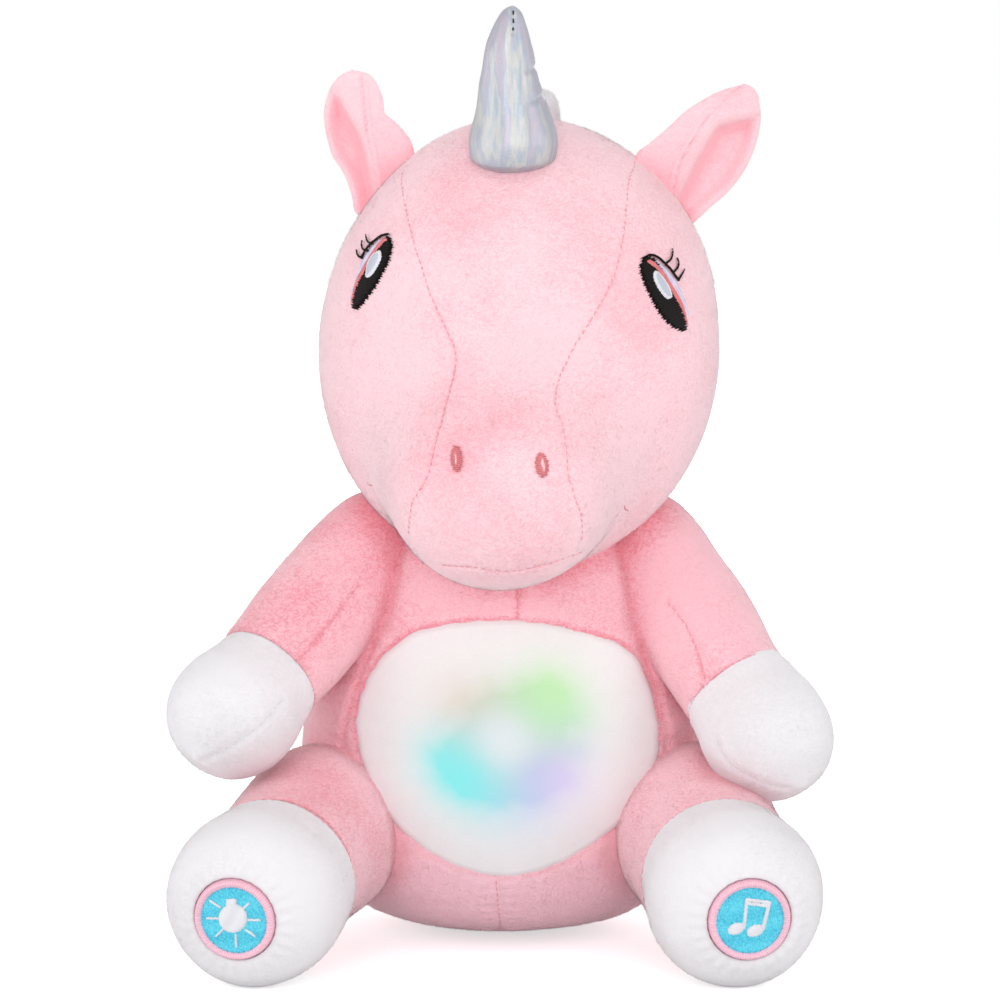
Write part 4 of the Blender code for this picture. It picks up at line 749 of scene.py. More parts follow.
def plush_material(name, light, deep, rim, clouds=0.55, sheen=0.3, nap=0.45):
    """Short brushed pile: cloudy light and dark strokes, fine rows of nap, a painted pale sheen at the rims and
    a soft sheen.
    """
    made = bpy.data.materials.get(name)
    if made:
        return made
    n = Nodes(name)
    whole = n.stretched()
    broad = n.noise(whole, 24.0, 1.0)
    cloud = n.noise(whole, 75.0, 3.0, 0.55)
    stroke = n.noise(n.stretched((1.6, 1.6, 0.7)), 420.0, 2.0, 0.6, 0.8)
    wavy = n.noise(n.stretched((0.85, 0.85, 1.5)), 620.0, 1.0, 0.4, 0.6)
    ridge = n.maths("ABSOLUTE", n.maths("SUBTRACT", wavy, 0.5))
    rows = n.maths("SUBTRACT", 1.0, n.maths("MULTIPLY", ridge, 12.0), clamp=True)
    grain = n.noise(whole, 1500.0, 2.0, 0.6)
    # Each point's tone holds painted shade (deeper) and painted light (paler), besides the pile's random tone.
    share = n.tone()
    for pattern, middle, strength in (
            (broad, 0.46, 4.6 * clouds), (cloud, 0.5, 1.3 * clouds), (stroke, 0.5, 0.9 * clouds),
            (rows, 0.35, 1.3 * nap), (grain, 0.5, 0.3)):
        share = n.maths("MULTIPLY_ADD", n.maths("SUBTRACT", pattern, middle), strength, share)
    # Random pale patches and painted light move the pile towards the palest pink.
    pale_patch_and_painted_light = n.maths("MULTIPLY", n.maths("SUBTRACT", PALE_PATCH_AND_PAINTED_LIGHT_START, share), 1.1, clamp=True)
    dyed = n.blend(n.maths("ADD", share, 0.0, clamp=True), light, deep)
    cloth = n.blend(pale_patch_and_painted_light, dyed, PALE_PATCH_AND_PAINTED_LIGHT)
    # The rim colour is a painted sheen, paler where the surface turns away from the eye.
    n.put(
        Base_Color=n.blend(n.rim(0.32, 2.0, 0.7), cloth, rim), Roughness=0.95, Specular_IOR_Level=0.15,
        Sheen_Weight=sheen, Sheen_Roughness=0.45, Sheen_Tint=(1.0, 0.93, 0.94, 1.0))
    tufts = n.maths("MULTIPLY_ADD", grain, 0.4, stroke)
    n.bump(n.maths("MULTIPLY_ADD", rows, -0.3, tufts), 0.0007, nap)
    n.face_out()
    return n.made


def thread_material(name, colour, second, shine=0.5, grain=2600.0, mottle=0.5):
    """Satin-stitched rayon thread: fine strands and a soft shine."""
    made = bpy.data.materials.get(name)
    if made:
        return made
    n = Nodes(name)
    strand = n.noise(n.stretched(), grain, 2.0, 0.7)
    # The tone adds the stitches' painted shade between their threads.
    share = n.maths("ADD", n.maths("MULTIPLY_ADD", strand, mottle, 0.25 - mottle / 2), n.tone(), clamp=True)
    n.put(Base_Color=n.blend(share, colour, second), Roughness=0.5, Specular_IOR_Level=shine)
    n.bump(strand, 0.0002, 0.6)
    return n.made


HORN_STREAKS = (
    (0.30, (0.24, 0.28, 0.35)), (0.40, (0.28, 0.345, 0.41)), (0.47, (0.44, 0.43, 0.40)),
    (0.53, (0.29, 0.325, 0.40)), (0.60, (0.40, 0.335, 0.40)), (0.67, (0.28, 0.345, 0.41)),
    (0.78, (0.53, 0.53, 0.55)),
)


def horn_material():
    """Silver holographic cloth: soft metal with upright streaks of pale colour, a fine weave and a painted
    darker reflection towards its edges.
    """
    n = Nodes("horn_lame")
    streak = n.noise(n.stretched((1.0, 1.0, 0.16)), 260.0, 3.0, 0.55)
    broad = n.noise(n.stretched((1.0, 1.0, 0.45)), 62.0)
    mixed = n.maths("MULTIPLY_ADD", streak, 0.62, n.maths("MULTIPLY", broad, 0.38))
    ramp = n.add("ShaderNodeValToRGB", Fac=mixed)
    elements = ramp.color_ramp.elements
    while len(elements) < len(HORN_STREAKS):
        elements.new(0.5)
    for element, (at, colour) in zip(elements, HORN_STREAKS):
        element.position = at
        element.color = (*colour, 1.0)
    weave = n.noise(n.stretched(), 2400.0, 1.0)
    cloth = n.blend(n.maths("MULTIPLY", weave, 0.3), ramp.outputs["Color"], (0.66, 0.68, 0.72))
    # The edge colour is a painted darker reflection where the horn turns away from the eye.
    n.put(Base_Color=n.blend(n.rim(0.4, 1.5, 0.55), cloth, (0.40, 0.41, 0.45)), Metallic=0.4, Roughness=0.46)
    n.bump(weave, 0.0002, 0.35)
    return n.made


def window_material(colour, lamps, glow):
    """Thin off-white velour with the lamps' soft spots of colour shining through it."""
    n = Nodes("belly_velour")
    place = n.add("ShaderNodeTexCoord").outputs["Object"]
    weave = n.noise(n.stretched((1, 1, 3.2)), 900.0, 2.0, 0.6)
    cloud = n.noise(n.stretched(), 170.0)
    grain = n.noise(n.stretched(), 1900.0, 1.0)
    light = (0.0, 0.0, 0.0)
    total = 0.0
    for centre, radius, tint, strength in lamps:
        gap = n.add("ShaderNodeVectorMath", operation="DISTANCE")
        n.link(place, gap.inputs[0])
        n.link(centre, gap.inputs[1])
        wavy = n.maths("MULTIPLY_ADD", n.maths("SUBTRACT", cloud, 0.5), radius * 0.35, gap.outputs["Value"])
        reach = n.maths("POWER", n.maths("DIVIDE", n.maths("MAXIMUM", wavy, 0.0), radius), 1.5)
        fall = n.maths("MULTIPLY", n.maths("POWER", math.e, n.maths("MULTIPLY", reach, -1.0)), strength)
        both = n.add("ShaderNodeVectorMath", operation="ADD")
        n.link(light, both.inputs[0])
        n.link(n.scaled(tint, fall), both.inputs[1])
        light = both.outputs["Vector"]
        total = n.maths("ADD", fall, total)
    glowing = n.scaled(light, n.maths("DIVIDE", 1.0, n.maths("MAXIMUM", total, 1.0)))
    cloth = n.blend(n.maths("MULTIPLY", weave, 0.16), colour, (0.68, 0.68, 0.70))
    speckle = n.maths("MULTIPLY", n.maths("ADD", weave, grain), 0.12)
    n.put(
        Base_Color=n.blend(n.maths("MINIMUM", total, 1.0), cloth, (0.03, 0.03, 0.03)),
        Emission_Color=n.blend(speckle, glowing, (0.46, 0.46, 0.48)), Emission_Strength=glow,
        Roughness=0.92, Specular_IOR_Level=0.1)
    n.bump(weave, 0.0003, 0.3)
    return n.made


def moulded_material(name, colour, roughness=0.42, metallic=0.0, grain=1800.0, sheen=0.0, glow=0.0):
    """Moulded or metal parts: a slight grain and worn tone over one colour."""
    made = bpy.data.materials.get(name)
    if made:
        return made
    n = Nodes(name)
    fine = n.noise(n.stretched(), grain)
    wide = n.noise(n.stretched(), 70.0)
    darker = tuple(c * 0.86 for c in colour)
    n.put(
        Base_Color=n.blend(n.maths("MULTIPLY", n.maths("ADD", fine, wide), 0.4), colour, darker),
        Roughness=roughness, Metallic=metallic, Sheen_Weight=sheen)
    if glow:
        n.put(Emission_Color=(*colour, 1.0), Emission_Strength=glow)
    n.bump(fine, 0.0001, 0.25)
    return n.made


# What a user can set

def length_setting(name, description, default):
    """A length in metres."""
    return bpy.props.FloatProperty(
        name=name, description=description, default=default, min=0.0, subtype="DISTANCE", unit="LENGTH")


def strength_setting(name, description, default, unit="NONE"):
    """A strength, power or count."""
    return bpy.props.FloatProperty(name=name, description=description, default=default, min=0.0, unit=unit)


def colour_setting(name, description, default):
    """A colour."""
    return bpy.props.FloatVectorProperty(
        name=name, description=description, size=3, subtype="COLOR", default=default, min=0, max=1)


class PlushLook(bpy.types.PropertyGroup):
    """The pile and the seams of the stuffed pieces."""

    pile_length: length_setting("Pile length", "Length of the brushed pile", 0.0011)
    pile_width: length_setting("Pile width", "Width of one tuft of pile", 0.00021)
    pile_density: strength_setting("Pile density", "Tufts on each square millimetre", 1.8)
    seam_depth: length_setting("Seam depth", "How far a seam draws the cloth in", 0.0008)
    lump_height: length_setting("Lump height", "Height of the filling's soft lumps", 0.0007)


class ColourLook(bpy.types.PropertyGroup):
    """The colours of the cloth."""

    body: colour_setting("Body", "Pink of the body's pile", (0.97, 0.56, 0.625))
    # Each deep colour carries the painted shade of folds, seams and creases, as well as the pile's cloudy
    # mottling.
    body_deep: colour_setting("Body, deep", "Pink in the body's folds", (0.86, 0.285, 0.35))
    head: colour_setting("Head", "Pink of the head's pile", (0.985, 0.655, 0.71))
    head_deep: colour_setting("Head, deep", "Pink in the head's folds", (0.93, 0.43, 0.49))
    white: colour_setting("White", "White of the hooves, feet, mane and tail", (0.82, 0.81, 0.83))
    white_deep: colour_setting("White, deep", "White in the folds", (0.66, 0.63, 0.65))
    window: colour_setting("Window", "Off-white of the belly window", (0.83, 0.81, 0.81))


class StageLook(bpy.types.PropertyGroup):
    """The lamps' glow, the studio's lights and its floor."""

    glow: strength_setting("Glow", "Strength of the belly's lamps", 1.0)
    key_light: strength_setting("Key light", "Power of each front light", 9.4, "POWER")
    side_light: strength_setting("Side light", "Power of each side light", 6.0, "POWER")
    world_light: strength_setting("World light", "Strength of the light from all round", 0.46)
    floor_size: length_setting("Floor size", "Length of the floor's sides", 6.0)


def plush_look():
    """The settings of the pile and seams."""
    return bpy.context.scene.night_light_plush


def cloth_colours(name):
    """A cloth's colour and its deep colour."""
    colours = bpy.context.scene.night_light_colours
    return tuple(getattr(colours, name)), tuple(getattr(colours, name + "_deep"))


# The third colour of each pile is its painted pale sheen at the rims.
def body_material():
    """The body's pink pile."""
    return plush_material("body_pile", *cloth_colours("body"), (0.94, 0.66, 0.70), 0.5, 0.35, 0.45)


def head_material():
    """The head's paler pink pile."""
    return plush_material("head_pile", *cloth_colours("head"), (0.92, 0.78, 0.81), 0.45, 0.35, 0.33)


def ear_material():
    """The ears' pink pile, brushed smoother than the head's."""
    return plush_material("ear_pile", *cloth_colours("head"), (0.92, 0.78, 0.81), 0.3, 0.35, 0.2)


def white_material():
    """The white pile."""
    return plush_material("white_pile", *cloth_colours("white"), (0.85, 0.84, 0.86), 0.3, 0.2, 0.14)


def pink_thread():
    """The thread of the pink seams."""
    return thread_material("seam_thread", (0.88, 0.42, 0.47), (0.76, 0.28, 0.34), 0.3)


def white_thread():
    """The thread of the eyes' catch-lights and the badges' signs."""
    return thread_material("white_thread", (0.88, 0.88, 0.90), (0.62, 0.62, 0.68))


def steel_material():
    """The bright steel of springs, screws and contacts."""
    return moulded_material("bright_steel", (0.62, 0.62, 0.64), 0.28, 1.0, 900.0)


# Torso

LAMP_SPOTS = (
    (551, 692, 0.0088, (0.60, 0.96, 0.42), 0.72), (536, 718, 0.0090, (0.48, 0.95, 0.46), 0.50),
    (576, 716, 0.0085, (0.54, 0.92, 0.52), 0.36), (522, 702, 0.0080, (0.50, 0.84, 0.42), 0.34),
    (468, 776, 0.0088, (0.08, 0.96, 0.95), 0.86), (438, 757, 0.0092, (0.16, 0.92, 0.92), 0.48),
    (482, 762, 0.0085, (0.12, 0.86, 0.90), 0.42), (496, 796, 0.0110, (0.24, 0.80, 0.92), 0.34),
    (533, 770, 0.0075, (0.52, 0.46, 0.96), 0.50), (560, 778, 0.0084, (0.84, 0.62, 1.00), 0.64),
    (531, 803, 0.0095, (0.58, 0.60, 0.94), 0.34), (578, 748, 0.0090, (0.64, 0.68, 0.90), 0.30),
    (458, 703, 0.0098, (0.88, 0.62, 0.48), 0.42), (489, 706, 0.0080, (0.74, 0.70, 0.46), 0.30),
    (505, 741, 0.0058, (0.88, 0.90, 0.94), 5.00), (505, 742, 0.0105, (0.56, 0.64, 0.66), 0.55),
    (505, 748, 0.0250, (0.60, 0.69, 0.67), 0.36),
)
SHOULDER_SEAMS = (
    ((388, 529), (379, 550), (371, 575), (363, 606)),
    ((644, 527), (650, 548), (656, 572), (664, 600)),
)
WINDOW_CENTRE = (506, 746)
WINDOW_EDGE = (
    (483, 620), (440, 625), (408, 635), (377, 661), (360, 694), (355, 730), (368, 782), (396, 826),
    (448, 864), (502, 878), (554, 867), (594, 845), (632, 812), (653, 782), (660, 730), (646, 673),
    (625, 647), (580, 630), (530, 621),
)


def window_share(places):
    """How far places of the picture lie from the window's middle, as a share of its edge."""
    edge = np.array(WINDOW_EDGE, float) - WINDOW_CENTRE
    angle = np.arctan2(edge[:, 1], edge[:, 0])
    order = np.argsort(angle)
    angle = angle[order]
    reach = np.linalg.norm(edge, axis=1)[order]
    across = places - np.array(WINDOW_CENTRE, float)
    turn = np.arctan2(across[:, 1], across[:, 0])
    return np.linalg.norm(across, axis=1) / np.interp(turn, angle, reach, period=math.tau)


def torso_skin(grow=0.0, rings=220, sides=330):
    """The torso's skin in fine rings."""
    outline = even_steps(TORSO_OUTLINE, rings + 2)[1:-1]
    turn = turns(sides)
    along = outline[:, :1]
    radius = np.maximum(outline[:, 1:] + grow, 0.0005)
    x = TORSO_LEAN * along / TORSO_HEIGHT + radius * np.cos(turn)
    y = radius * np.sin(turn) * TORSO_DEPTH / TORSO_WIDTH
    z = np.repeat(along - SEAT_CUT, sides, axis=1)
    z = z - np.sign(along / TORSO_HEIGHT - 0.5) * -grow * (radius < 0.02)
    return ring_skin(np.stack([x, y, np.maximum(z, 0.0)], axis=-1))


def torso_back(x, z):
    """How far back the torso's surface lies."""
    radius = np.interp(z + SEAT_CUT, TORSO_OUTLINE[:, 0], TORSO_OUTLINE[:, 1])
    across = x - TORSO_LEAN * z / TORSO_HEIGHT
    return TORSO_DEPTH / TORSO_WIDTH * np.sqrt(np.maximum(radius ** 2 - across ** 2, 1e-8))


def torso_line(turn_low, turn_high, low, high, count=24):
    """A line down the torso from one height to another, between two turns about its middle."""
    z = np.linspace(low, high, count)
    turn = np.radians(np.linspace(turn_low, turn_high, count))
    radius = np.interp(z + SEAT_CUT, TORSO_OUTLINE[:, 0], TORSO_OUTLINE[:, 1])
    x = TORSO_LEAN * z / TORSO_HEIGHT + radius * np.cos(turn)
    return np.stack([x, radius * np.sin(turn) * TORSO_DEPTH / TORSO_WIDTH, z], axis=1)


def build_torso():
    """The torso's plush, drawn in round the belly window and opened behind for the flap."""
    plush = plush_look()
    skin = Skin(*torso_skin())
    skin.plump(0.034, plush.lump_height, 1)
    seams = [
        torso_line(-87, -87, 0.107, 0.15), torso_line(-90, -92, 0.004, 0.027), torso_line(90, 90, 0.1, 0.15),
    ]
    # Each seam paints shade into its groove.
    for seam in seams:
        skin.sew(seam, plush.seam_depth, 0.0016, 0.0002)
    for turn in (-152, -28):
        slant = math.copysign(14, -90 - turn)
        skin.sew(torso_line(turn, turn + slant, 0.008, 0.1), plush.seam_depth * 0.8, 0.0018, 0.0002)
    front = skin.points[:, 1] < 0
    share = np.where(front, window_share(in_picture(skin.points)), 9)
    edge = np.abs(share - 1) * 0.045
    turn = np.arctan2(skin.points[:, 2] - 0.068, skin.points[:, 0])
    waves = np.sin(turn * 34 + 2 * soft_noise(skin.points, 0.02, 3))
    puckers = 0.00022 * waves * np.exp(-((share - 1.1) / 0.08) ** 2)
    skin.push(-0.0026 * (1 - eased(0.96, 0.995, share)) - 0.0006 * np.exp(-(edge / 0.0014) ** 2) + puckers)
    # Painted shade along the window's seam.
    skin.mark(0.95 * np.exp(-(edge / 0.0011) ** 2))
    skin.pile = skin.pile * eased(0.975, 0.99, share)
    # Painted shade where the arms, legs and head meet the torso.
    for side in (-1, 1):
        skin.crease_and_paint_shade(arm_gap(skin.points, side), 0.0032, 0.0010, 0.40)
        skin.crease_and_paint_shade(leg_gap(skin.points, side), 0.0036, 0.0012, 0.45)
    skin.crease_and_paint_shade(head_gap(skin.points), 0.004, 0.001, 0.3)
    x, y, z = skin.points.T
    reach = np.maximum(np.abs(x) - FLAP_HALF_WIDTH, np.maximum(FLAP_LOW - z, z - FLAP_HIGH))
    reach = np.where(y > 0, reach, 1)
    skin.push(-0.0008 * np.exp(-(np.maximum(reach, 0) / 0.0016) ** 2) * (reach > 0))
    # Painted shade round the flap's opening.
    skin.mark(0.6 * np.exp(-(reach / 0.002) ** 2))
    skin.pile = np.where((reach < 0.0004) | (z < 0.0012), 0, skin.pile)
    skin.rest_on_floor()
    tree = skin.tree()
    seams += [drawn(tree, line) for line in SHOULDER_SEAMS]
    thread_row("body_stitches", seams, skin, pink_thread(), "torso", seed=3)
    # Painted light: the torso's lower front is made paler towards the floor.
    skin.tone = skin.tone - 2.4 * np.exp(-(skin.points[:, 2] / 0.042) ** 2) * front
    pile = pile_over(skin, plush, (0, 0, -1), 11)
    torso = new_piece("torso_plush", skin.points, skin.faces(), body_material(), skin.tone)
    lining = moulded_material("lining_cloth", (0.86, 0.72, 0.74), 0.9, 0.0, 2600.0, 0.3)
    points, quads, tris = torso_skin(-LEDGE_DEPTH, 60, 90)
    core = new_piece("core", points, quads.tolist() + tris.tolist(), lining)
    half = FLAP_HALF_WIDTH
    ledge = box_piece("ledge", (-half, 0, FLAP_LOW), (half, TORSO_DEPTH, FLAP_LEDGE_TOP + 0.01), lining)
    cut_away(ledge, core)
    cut_away(torso, ledge)
    cut_away(torso, box_piece("room", *SOUND_BOX, lining))
    inner_end = SOUND_BOX[1][1] - 0.002
    passage = box_piece(
        "passage", (-half, inner_end, FLAP_LEDGE_TOP), (half, TORSO_DEPTH, FLAP_HIGH), lining)
    cut_away(torso, passage)
    add_pile(torso, pile)
    settle(torso, "torso", "torso")


def add_pile(piece, pile):
    """Adds pile to a piece that has been cut."""
    old = piece.data
    count = len(old.vertices)
    points = np.empty(count * 3)
    old.vertices.foreach_get("co", points)
    tones = np.zeros(count, dtype=np.float32)
    old.attributes["tone"].data.foreach_get("value", tones)
    hairs, hair_normals, hair_tones = pile
    faces = [list(face.vertices) for face in old.polygons] + hair_faces(count, hairs)
    made = new_piece(
        piece.name + "_whole", np.vstack([points.reshape(-1, 3), hairs]), faces, old.materials[0],
        np.r_[tones, hair_tones])
    mesh = made.data
    for material in old.materials[1:]:
        mesh.materials.append(material)
    slots = [face.material_index for face in old.polygons] + [0] * (len(hairs) // 3)
    mesh.polygons.foreach_set("material_index", slots)
    piece.data = mesh
    bpy.data.objects.remove(made)
    mesh.name = piece.name
    normals = np.array([tuple(normal.vector) for normal in mesh.corner_normals])
    corners = np.empty(len(mesh.loops), dtype=np.int32)
    mesh.loops.foreach_get("vertex_index", corners)
    on_hair = corners >= count
    normals[on_hair] = hair_normals[corners[on_hair] - count]
    mesh.normals_split_custom_set(normals.tolist())


WINDOW_REACH = 1.012
WINDOW_THICKNESS = 0.003


def build_window():
    """The belly window: a crowned panel of thin velour, drawn in at its seam and lit from behind."""
    tree = drop_tree(*torso_skin())
    rings, sides = 46, 160
    edge = closed_steps(WINDOW_EDGE, sides)
    shares = np.linspace(0, WINDOW_REACH, rings + 1)[1:]
    middle = np.array(WINDOW_CENTRE, float)
    grid = [seen_on(tree, middle + (edge - middle) * share) for share in shares]
    points = np.vstack([seen_on(tree, [WINDOW_CENTRE])] + grid)
    index, quads, tris = ring_faces(rings, sides)
    normals = skin_normals(points, quads, tris)
    if normals[:, 1].mean() > 0:
        quads, tris, normals = quads[:, ::-1], tris[:, ::-1], -normals
    share = np.r_[0, np.repeat(shares, sides)]
    turn = np.r_[0, np.tile(turns(sides), rings)]
    crown = 0.0014 * (1 - (share / WINDOW_REACH) ** 4) - 0.0013 * eased(0.965, WINDOW_REACH, share)
    ripple = 0.00018 * np.sin(turn * 30 + 3 * soft_noise(points, 0.02, 2)) * eased(0.6, 0.97, share)
    ripple = ripple + 0.0003 * soft_noise(points, 0.016, 4)
    front = points + normals * (crown + ripple)[:, None]
    back = points - normals * WINDOW_THICKNESS
    count = len(points)
    faces = []
    for part in (quads, tris, quads[:, ::-1] + count, tris[:, ::-1] + count, rim_walls(index[-1], count)):
        faces += part.tolist()
    lamps = []
    for px, py, radius, tint, strength in LAMP_SPOTS:
        lamps.append((tuple(seen_on(tree, [(px, py)])[0]), radius, tint, strength))
    scene = bpy.context.scene
    material = window_material(tuple(scene.night_light_colours.window), lamps, scene.night_light_stage.glow)
    window = new_piece("belly_velour", np.vstack([front, back]), faces, material)
    settle(window, "torso", "belly_window")


# Head

GUSSET_LEFT = (
    (402, 172), (402, 188), (406, 210), (411, 232), (420, 262), (429, 291), (438, 312), (447, 332),
    (455, 350), (454, 370), (450, 385), (441, 420), (434, 446), (429, 470), (421, 487), (413, 499),
    (409, 516), (408, 534),
)
GUSSET_RIGHT = (
    (635, 162), (629, 180), (627, 200), (624, 232), (617, 267), (606, 294), (593, 317), (585, 330),
    (576, 344), (567, 362), (560, 376), (555, 402), (558, 414), (562, 423), (566, 448), (568, 473),
    (574, 496), (580, 512), (582, 525), (581, 540),
)
LOOSE_ENDS = (((368, 482), (370, 484.5), (373, 485)), ((625, 506), (626, 510), (629, 511)))
MOUTH_LINE = ((441, 565), (460, 567), (478, 568), (499, 571), (521, 570), (545, 564), (570, 556), (582, 552))
CHEEK_FOLD = ((460, 377), (470, 383), (480, 389), (488, 393))
HORN_FOOT = (512, 172)


def head_skin(rings=250, sides=330):
    """The head's skin in fine rings about its nose."""
    raised = math.radians(NOSE_AXIS_ANGLE)
    nose = np.array(frame_at((0, 0, 0), (0, -math.cos(raised), math.sin(raised))).to_3x3())
    polar = math.pi * (np.arange(1, rings) / rings) ** 1.15
    p, t = np.meshgrid(polar, turns(sides), indexing="ij")
    local = np.stack([np.sin(p) * np.cos(t), np.sin(p) * np.sin(t), np.cos(p)], axis=-1)
    local = local.reshape(-1, 3) @ nose.T
    points = moved(head_frame(), local * head_reach(local)[:, None])
    return ring_skin(points.reshape(rings - 1, sides, 3))


def build_head():
    """The head's plush, with its gusset, mouth and cheek seams."""
    plush = plush_look()
    skin = Skin(*head_skin())
    tree = skin.tree()
    skin.plump(0.04, plush.lump_height, 21)
    seams = [drawn(tree, line) for line in (GUSSET_LEFT, GUSSET_RIGHT, MOUTH_LINE)]
    # Each seam paints shade into its groove.
    for seam in seams:
        skin.sew(seam, plush.seam_depth * 0.6, 0.0008, 0.00016, 0.0030, 0.35)
    thread_row("head_stitches", seams, skin, pink_thread(), "head", seed=5)
    ends = [seen_on(tree, line) for line in LOOSE_ENDS]
    red = thread_material("red_thread", (0.62, 0.06, 0.09), (0.40, 0.03, 0.05), 0.3)
    thread_row("head_thread_ends", ends, skin, red, "head", 0.0012, 0.0013, 0.00016, 6)
    near, _ = seam_reach(skin.points, drawn(tree, CHEEK_FOLD))
    skin.push(-0.0006 * np.exp(-(near / 0.0022) ** 2))
    # Painted shade where the arms and torso meet the head.
    for side in (-1, 1):
        skin.crease_and_paint_shade(arm_gap(skin.points, side), 0.008, 0.0006)
    skin.crease_and_paint_shade(torso_gap(skin.points), 0.008, 0.0008, 0.35)
    # Painted shade round the horn's foot.
    foot = np.linalg.norm(skin.points - seen_on(tree, [HORN_FOOT])[0] - (0, 0.008, 0.004), axis=1)
    skin.mark(0.50 * np.exp(-(foot / 0.026) ** 2))
    seen = in_picture(skin.points)
    front = skin.points[:, 1] < HEAD_PLACE[1]
    for eye in EYES.values():
        for shape in ("black", "lilac"):
            skin.pile = np.where(front & (polygon_gap(seen, eye[shape]) < 2.5), 0, skin.pile)
    for px, py, wide, tall, _ in NOSTRILS.values():
        near = np.hypot((seen[:, 0] - px) / (wide + 1), (seen[:, 1] - py) / (tall + 1)) < 1
        skin.pile = np.where(front & near, 0, skin.pile)
    middle = moved(head_frame(), np.zeros((1, 3)))[0]

    def nap(points):
        """The way that the pile is brushed: down, and outwards from the middle."""
        across = 0.35 * (points[:, 0] - middle[0])
        return np.stack([across, np.full(len(points), 0.02), np.full(len(points), -0.07)], axis=1)

    head = plush_piece("head_plush", skin, head_material(), plush, nap, 22)
    settle(head, "head", "head")
    return tree


# Embroidery

def polygon_gap(places, outline):
    """How far places lie outside a closed outline, below zero inside."""
    closed = np.vstack([outline, outline[:1]]).astype(float)
    near = np.full(len(places), 1e9)
    inside = np.zeros(len(places), bool)
    x, y = places.T
    for a, b, _, gap in spans(places, closed):
        near = np.minimum(near, gap)
        crosses = (a[1] > y) != (b[1] > y)
        with np.errstate(divide="ignore", invalid="ignore"):
            at = a[0] + (y - a[1]) * (b[0] - a[0]) / (b[1] - a[1])
        inside ^= crosses & (x < at)
    return np.where(inside, -near, near)


def stroke_gap(places, line, width, taper=0.0):
    """How far places lie outside a stroke drawn along a line, thinner towards its end."""
    near = np.full(len(places), 1e9)
    line = np.asarray(line, float)
    for i, (_, _, share, gap) in enumerate(spans(places, line)):
        along = (i + share) / (len(line) - 1)
        near = np.minimum(near, gap - width / 2 * (1 - taper * along))
    return near


STITCH_ROOT = 0.0003


def stitched(
        name, gap, bounds, step, put, size, height, angle, pitch, material, ground=0.0, radial=False,
        ragged=0.35, ridge=0.00012, groove_shade=0.55):
    """Satin stitches over the places where gap is below zero.

    Places are in units of size metres, and put turns them into points and outward directions.
    """
    low_x, low_y, high_x, high_y = bounds
    xs = np.arange(low_x, high_x + step, step)
    ys = np.arange(low_y, high_y + step, step)
    places = np.stack(np.meshgrid(xs, ys, indexing="ij"), axis=-1).reshape(-1, 2)
    turn = math.radians(angle)
    across = places @ np.array((math.cos(turn), math.sin(turn)))
    along = places @ np.array((-math.sin(turn), math.cos(turn)))
    if radial:
        along = np.linalg.norm(places, axis=1)
        across = np.arctan2(places[:, 1], places[:, 0]) * along.mean()
    jag = ragged * pitch * (np.sin(across / pitch * math.tau) + 0.7 * np.sin(across / pitch * 2.6 + 1))
    out = gap(places) + jag
    threads = 0.5 + 0.5 * np.cos(across / pitch * math.tau)
    cells = grid_quads(np.arange(len(places)).reshape(len(xs), len(ys)))
    kept = cells[(out[cells] < 0).all(axis=1)]
    used, quads = np.unique(kept, return_inverse=True)
    quads = quads.reshape(-1, 4)
    base, normal = put(places[used])
    dome = np.sqrt(np.clip(-out[used] * size / (height * 1.2), 0, 1))
    rise = ground - STITCH_ROOT + (height + STITCH_ROOT + ridge * threads[used]) * dome
    points = base + normal * (rise + 0.00005 * soft_noise(base, 0.0012, 3))[:, None]
    a, b, d = (points[quads[:, i]] for i in (0, 1, 3))
    if np.einsum("ij,ij->i", np.cross(b - a, d - a), normal[quads[:, 0]]).sum() < 0:
        quads = quads[:, ::-1]
    # Painted shade in the grooves between the threads, with a faint banding along them.
    tones = groove_shade * (1 - threads[used]) + 0.12 * np.sin(along[used] / pitch * 0.7)
    return new_piece(name, points, quads.tolist(), material, tones)


FACE_MIDDLE = (0, -0.08, 0.19)


def on_head(tree):
    """Puts places of the picture on the head."""
    def put(places):
        """Points and outward directions on the head."""
        found = []
        for px, py in places:
            hit, normal, _, _ = tree.ray_cast(*ray_of(px, py))
            if hit is None:
                hit, normal, _, _ = tree.find_nearest(Vector(FACE_MIDDLE))
            found.append((*hit, *normal))
        return np.array(found)[:, :3], np.array(found)[:, 3:]
    return put


def room_round(line, margin):
    """The bounds of a line with a margin round them."""
    return (*(line.min(0) - margin), *(line.max(0) + margin))


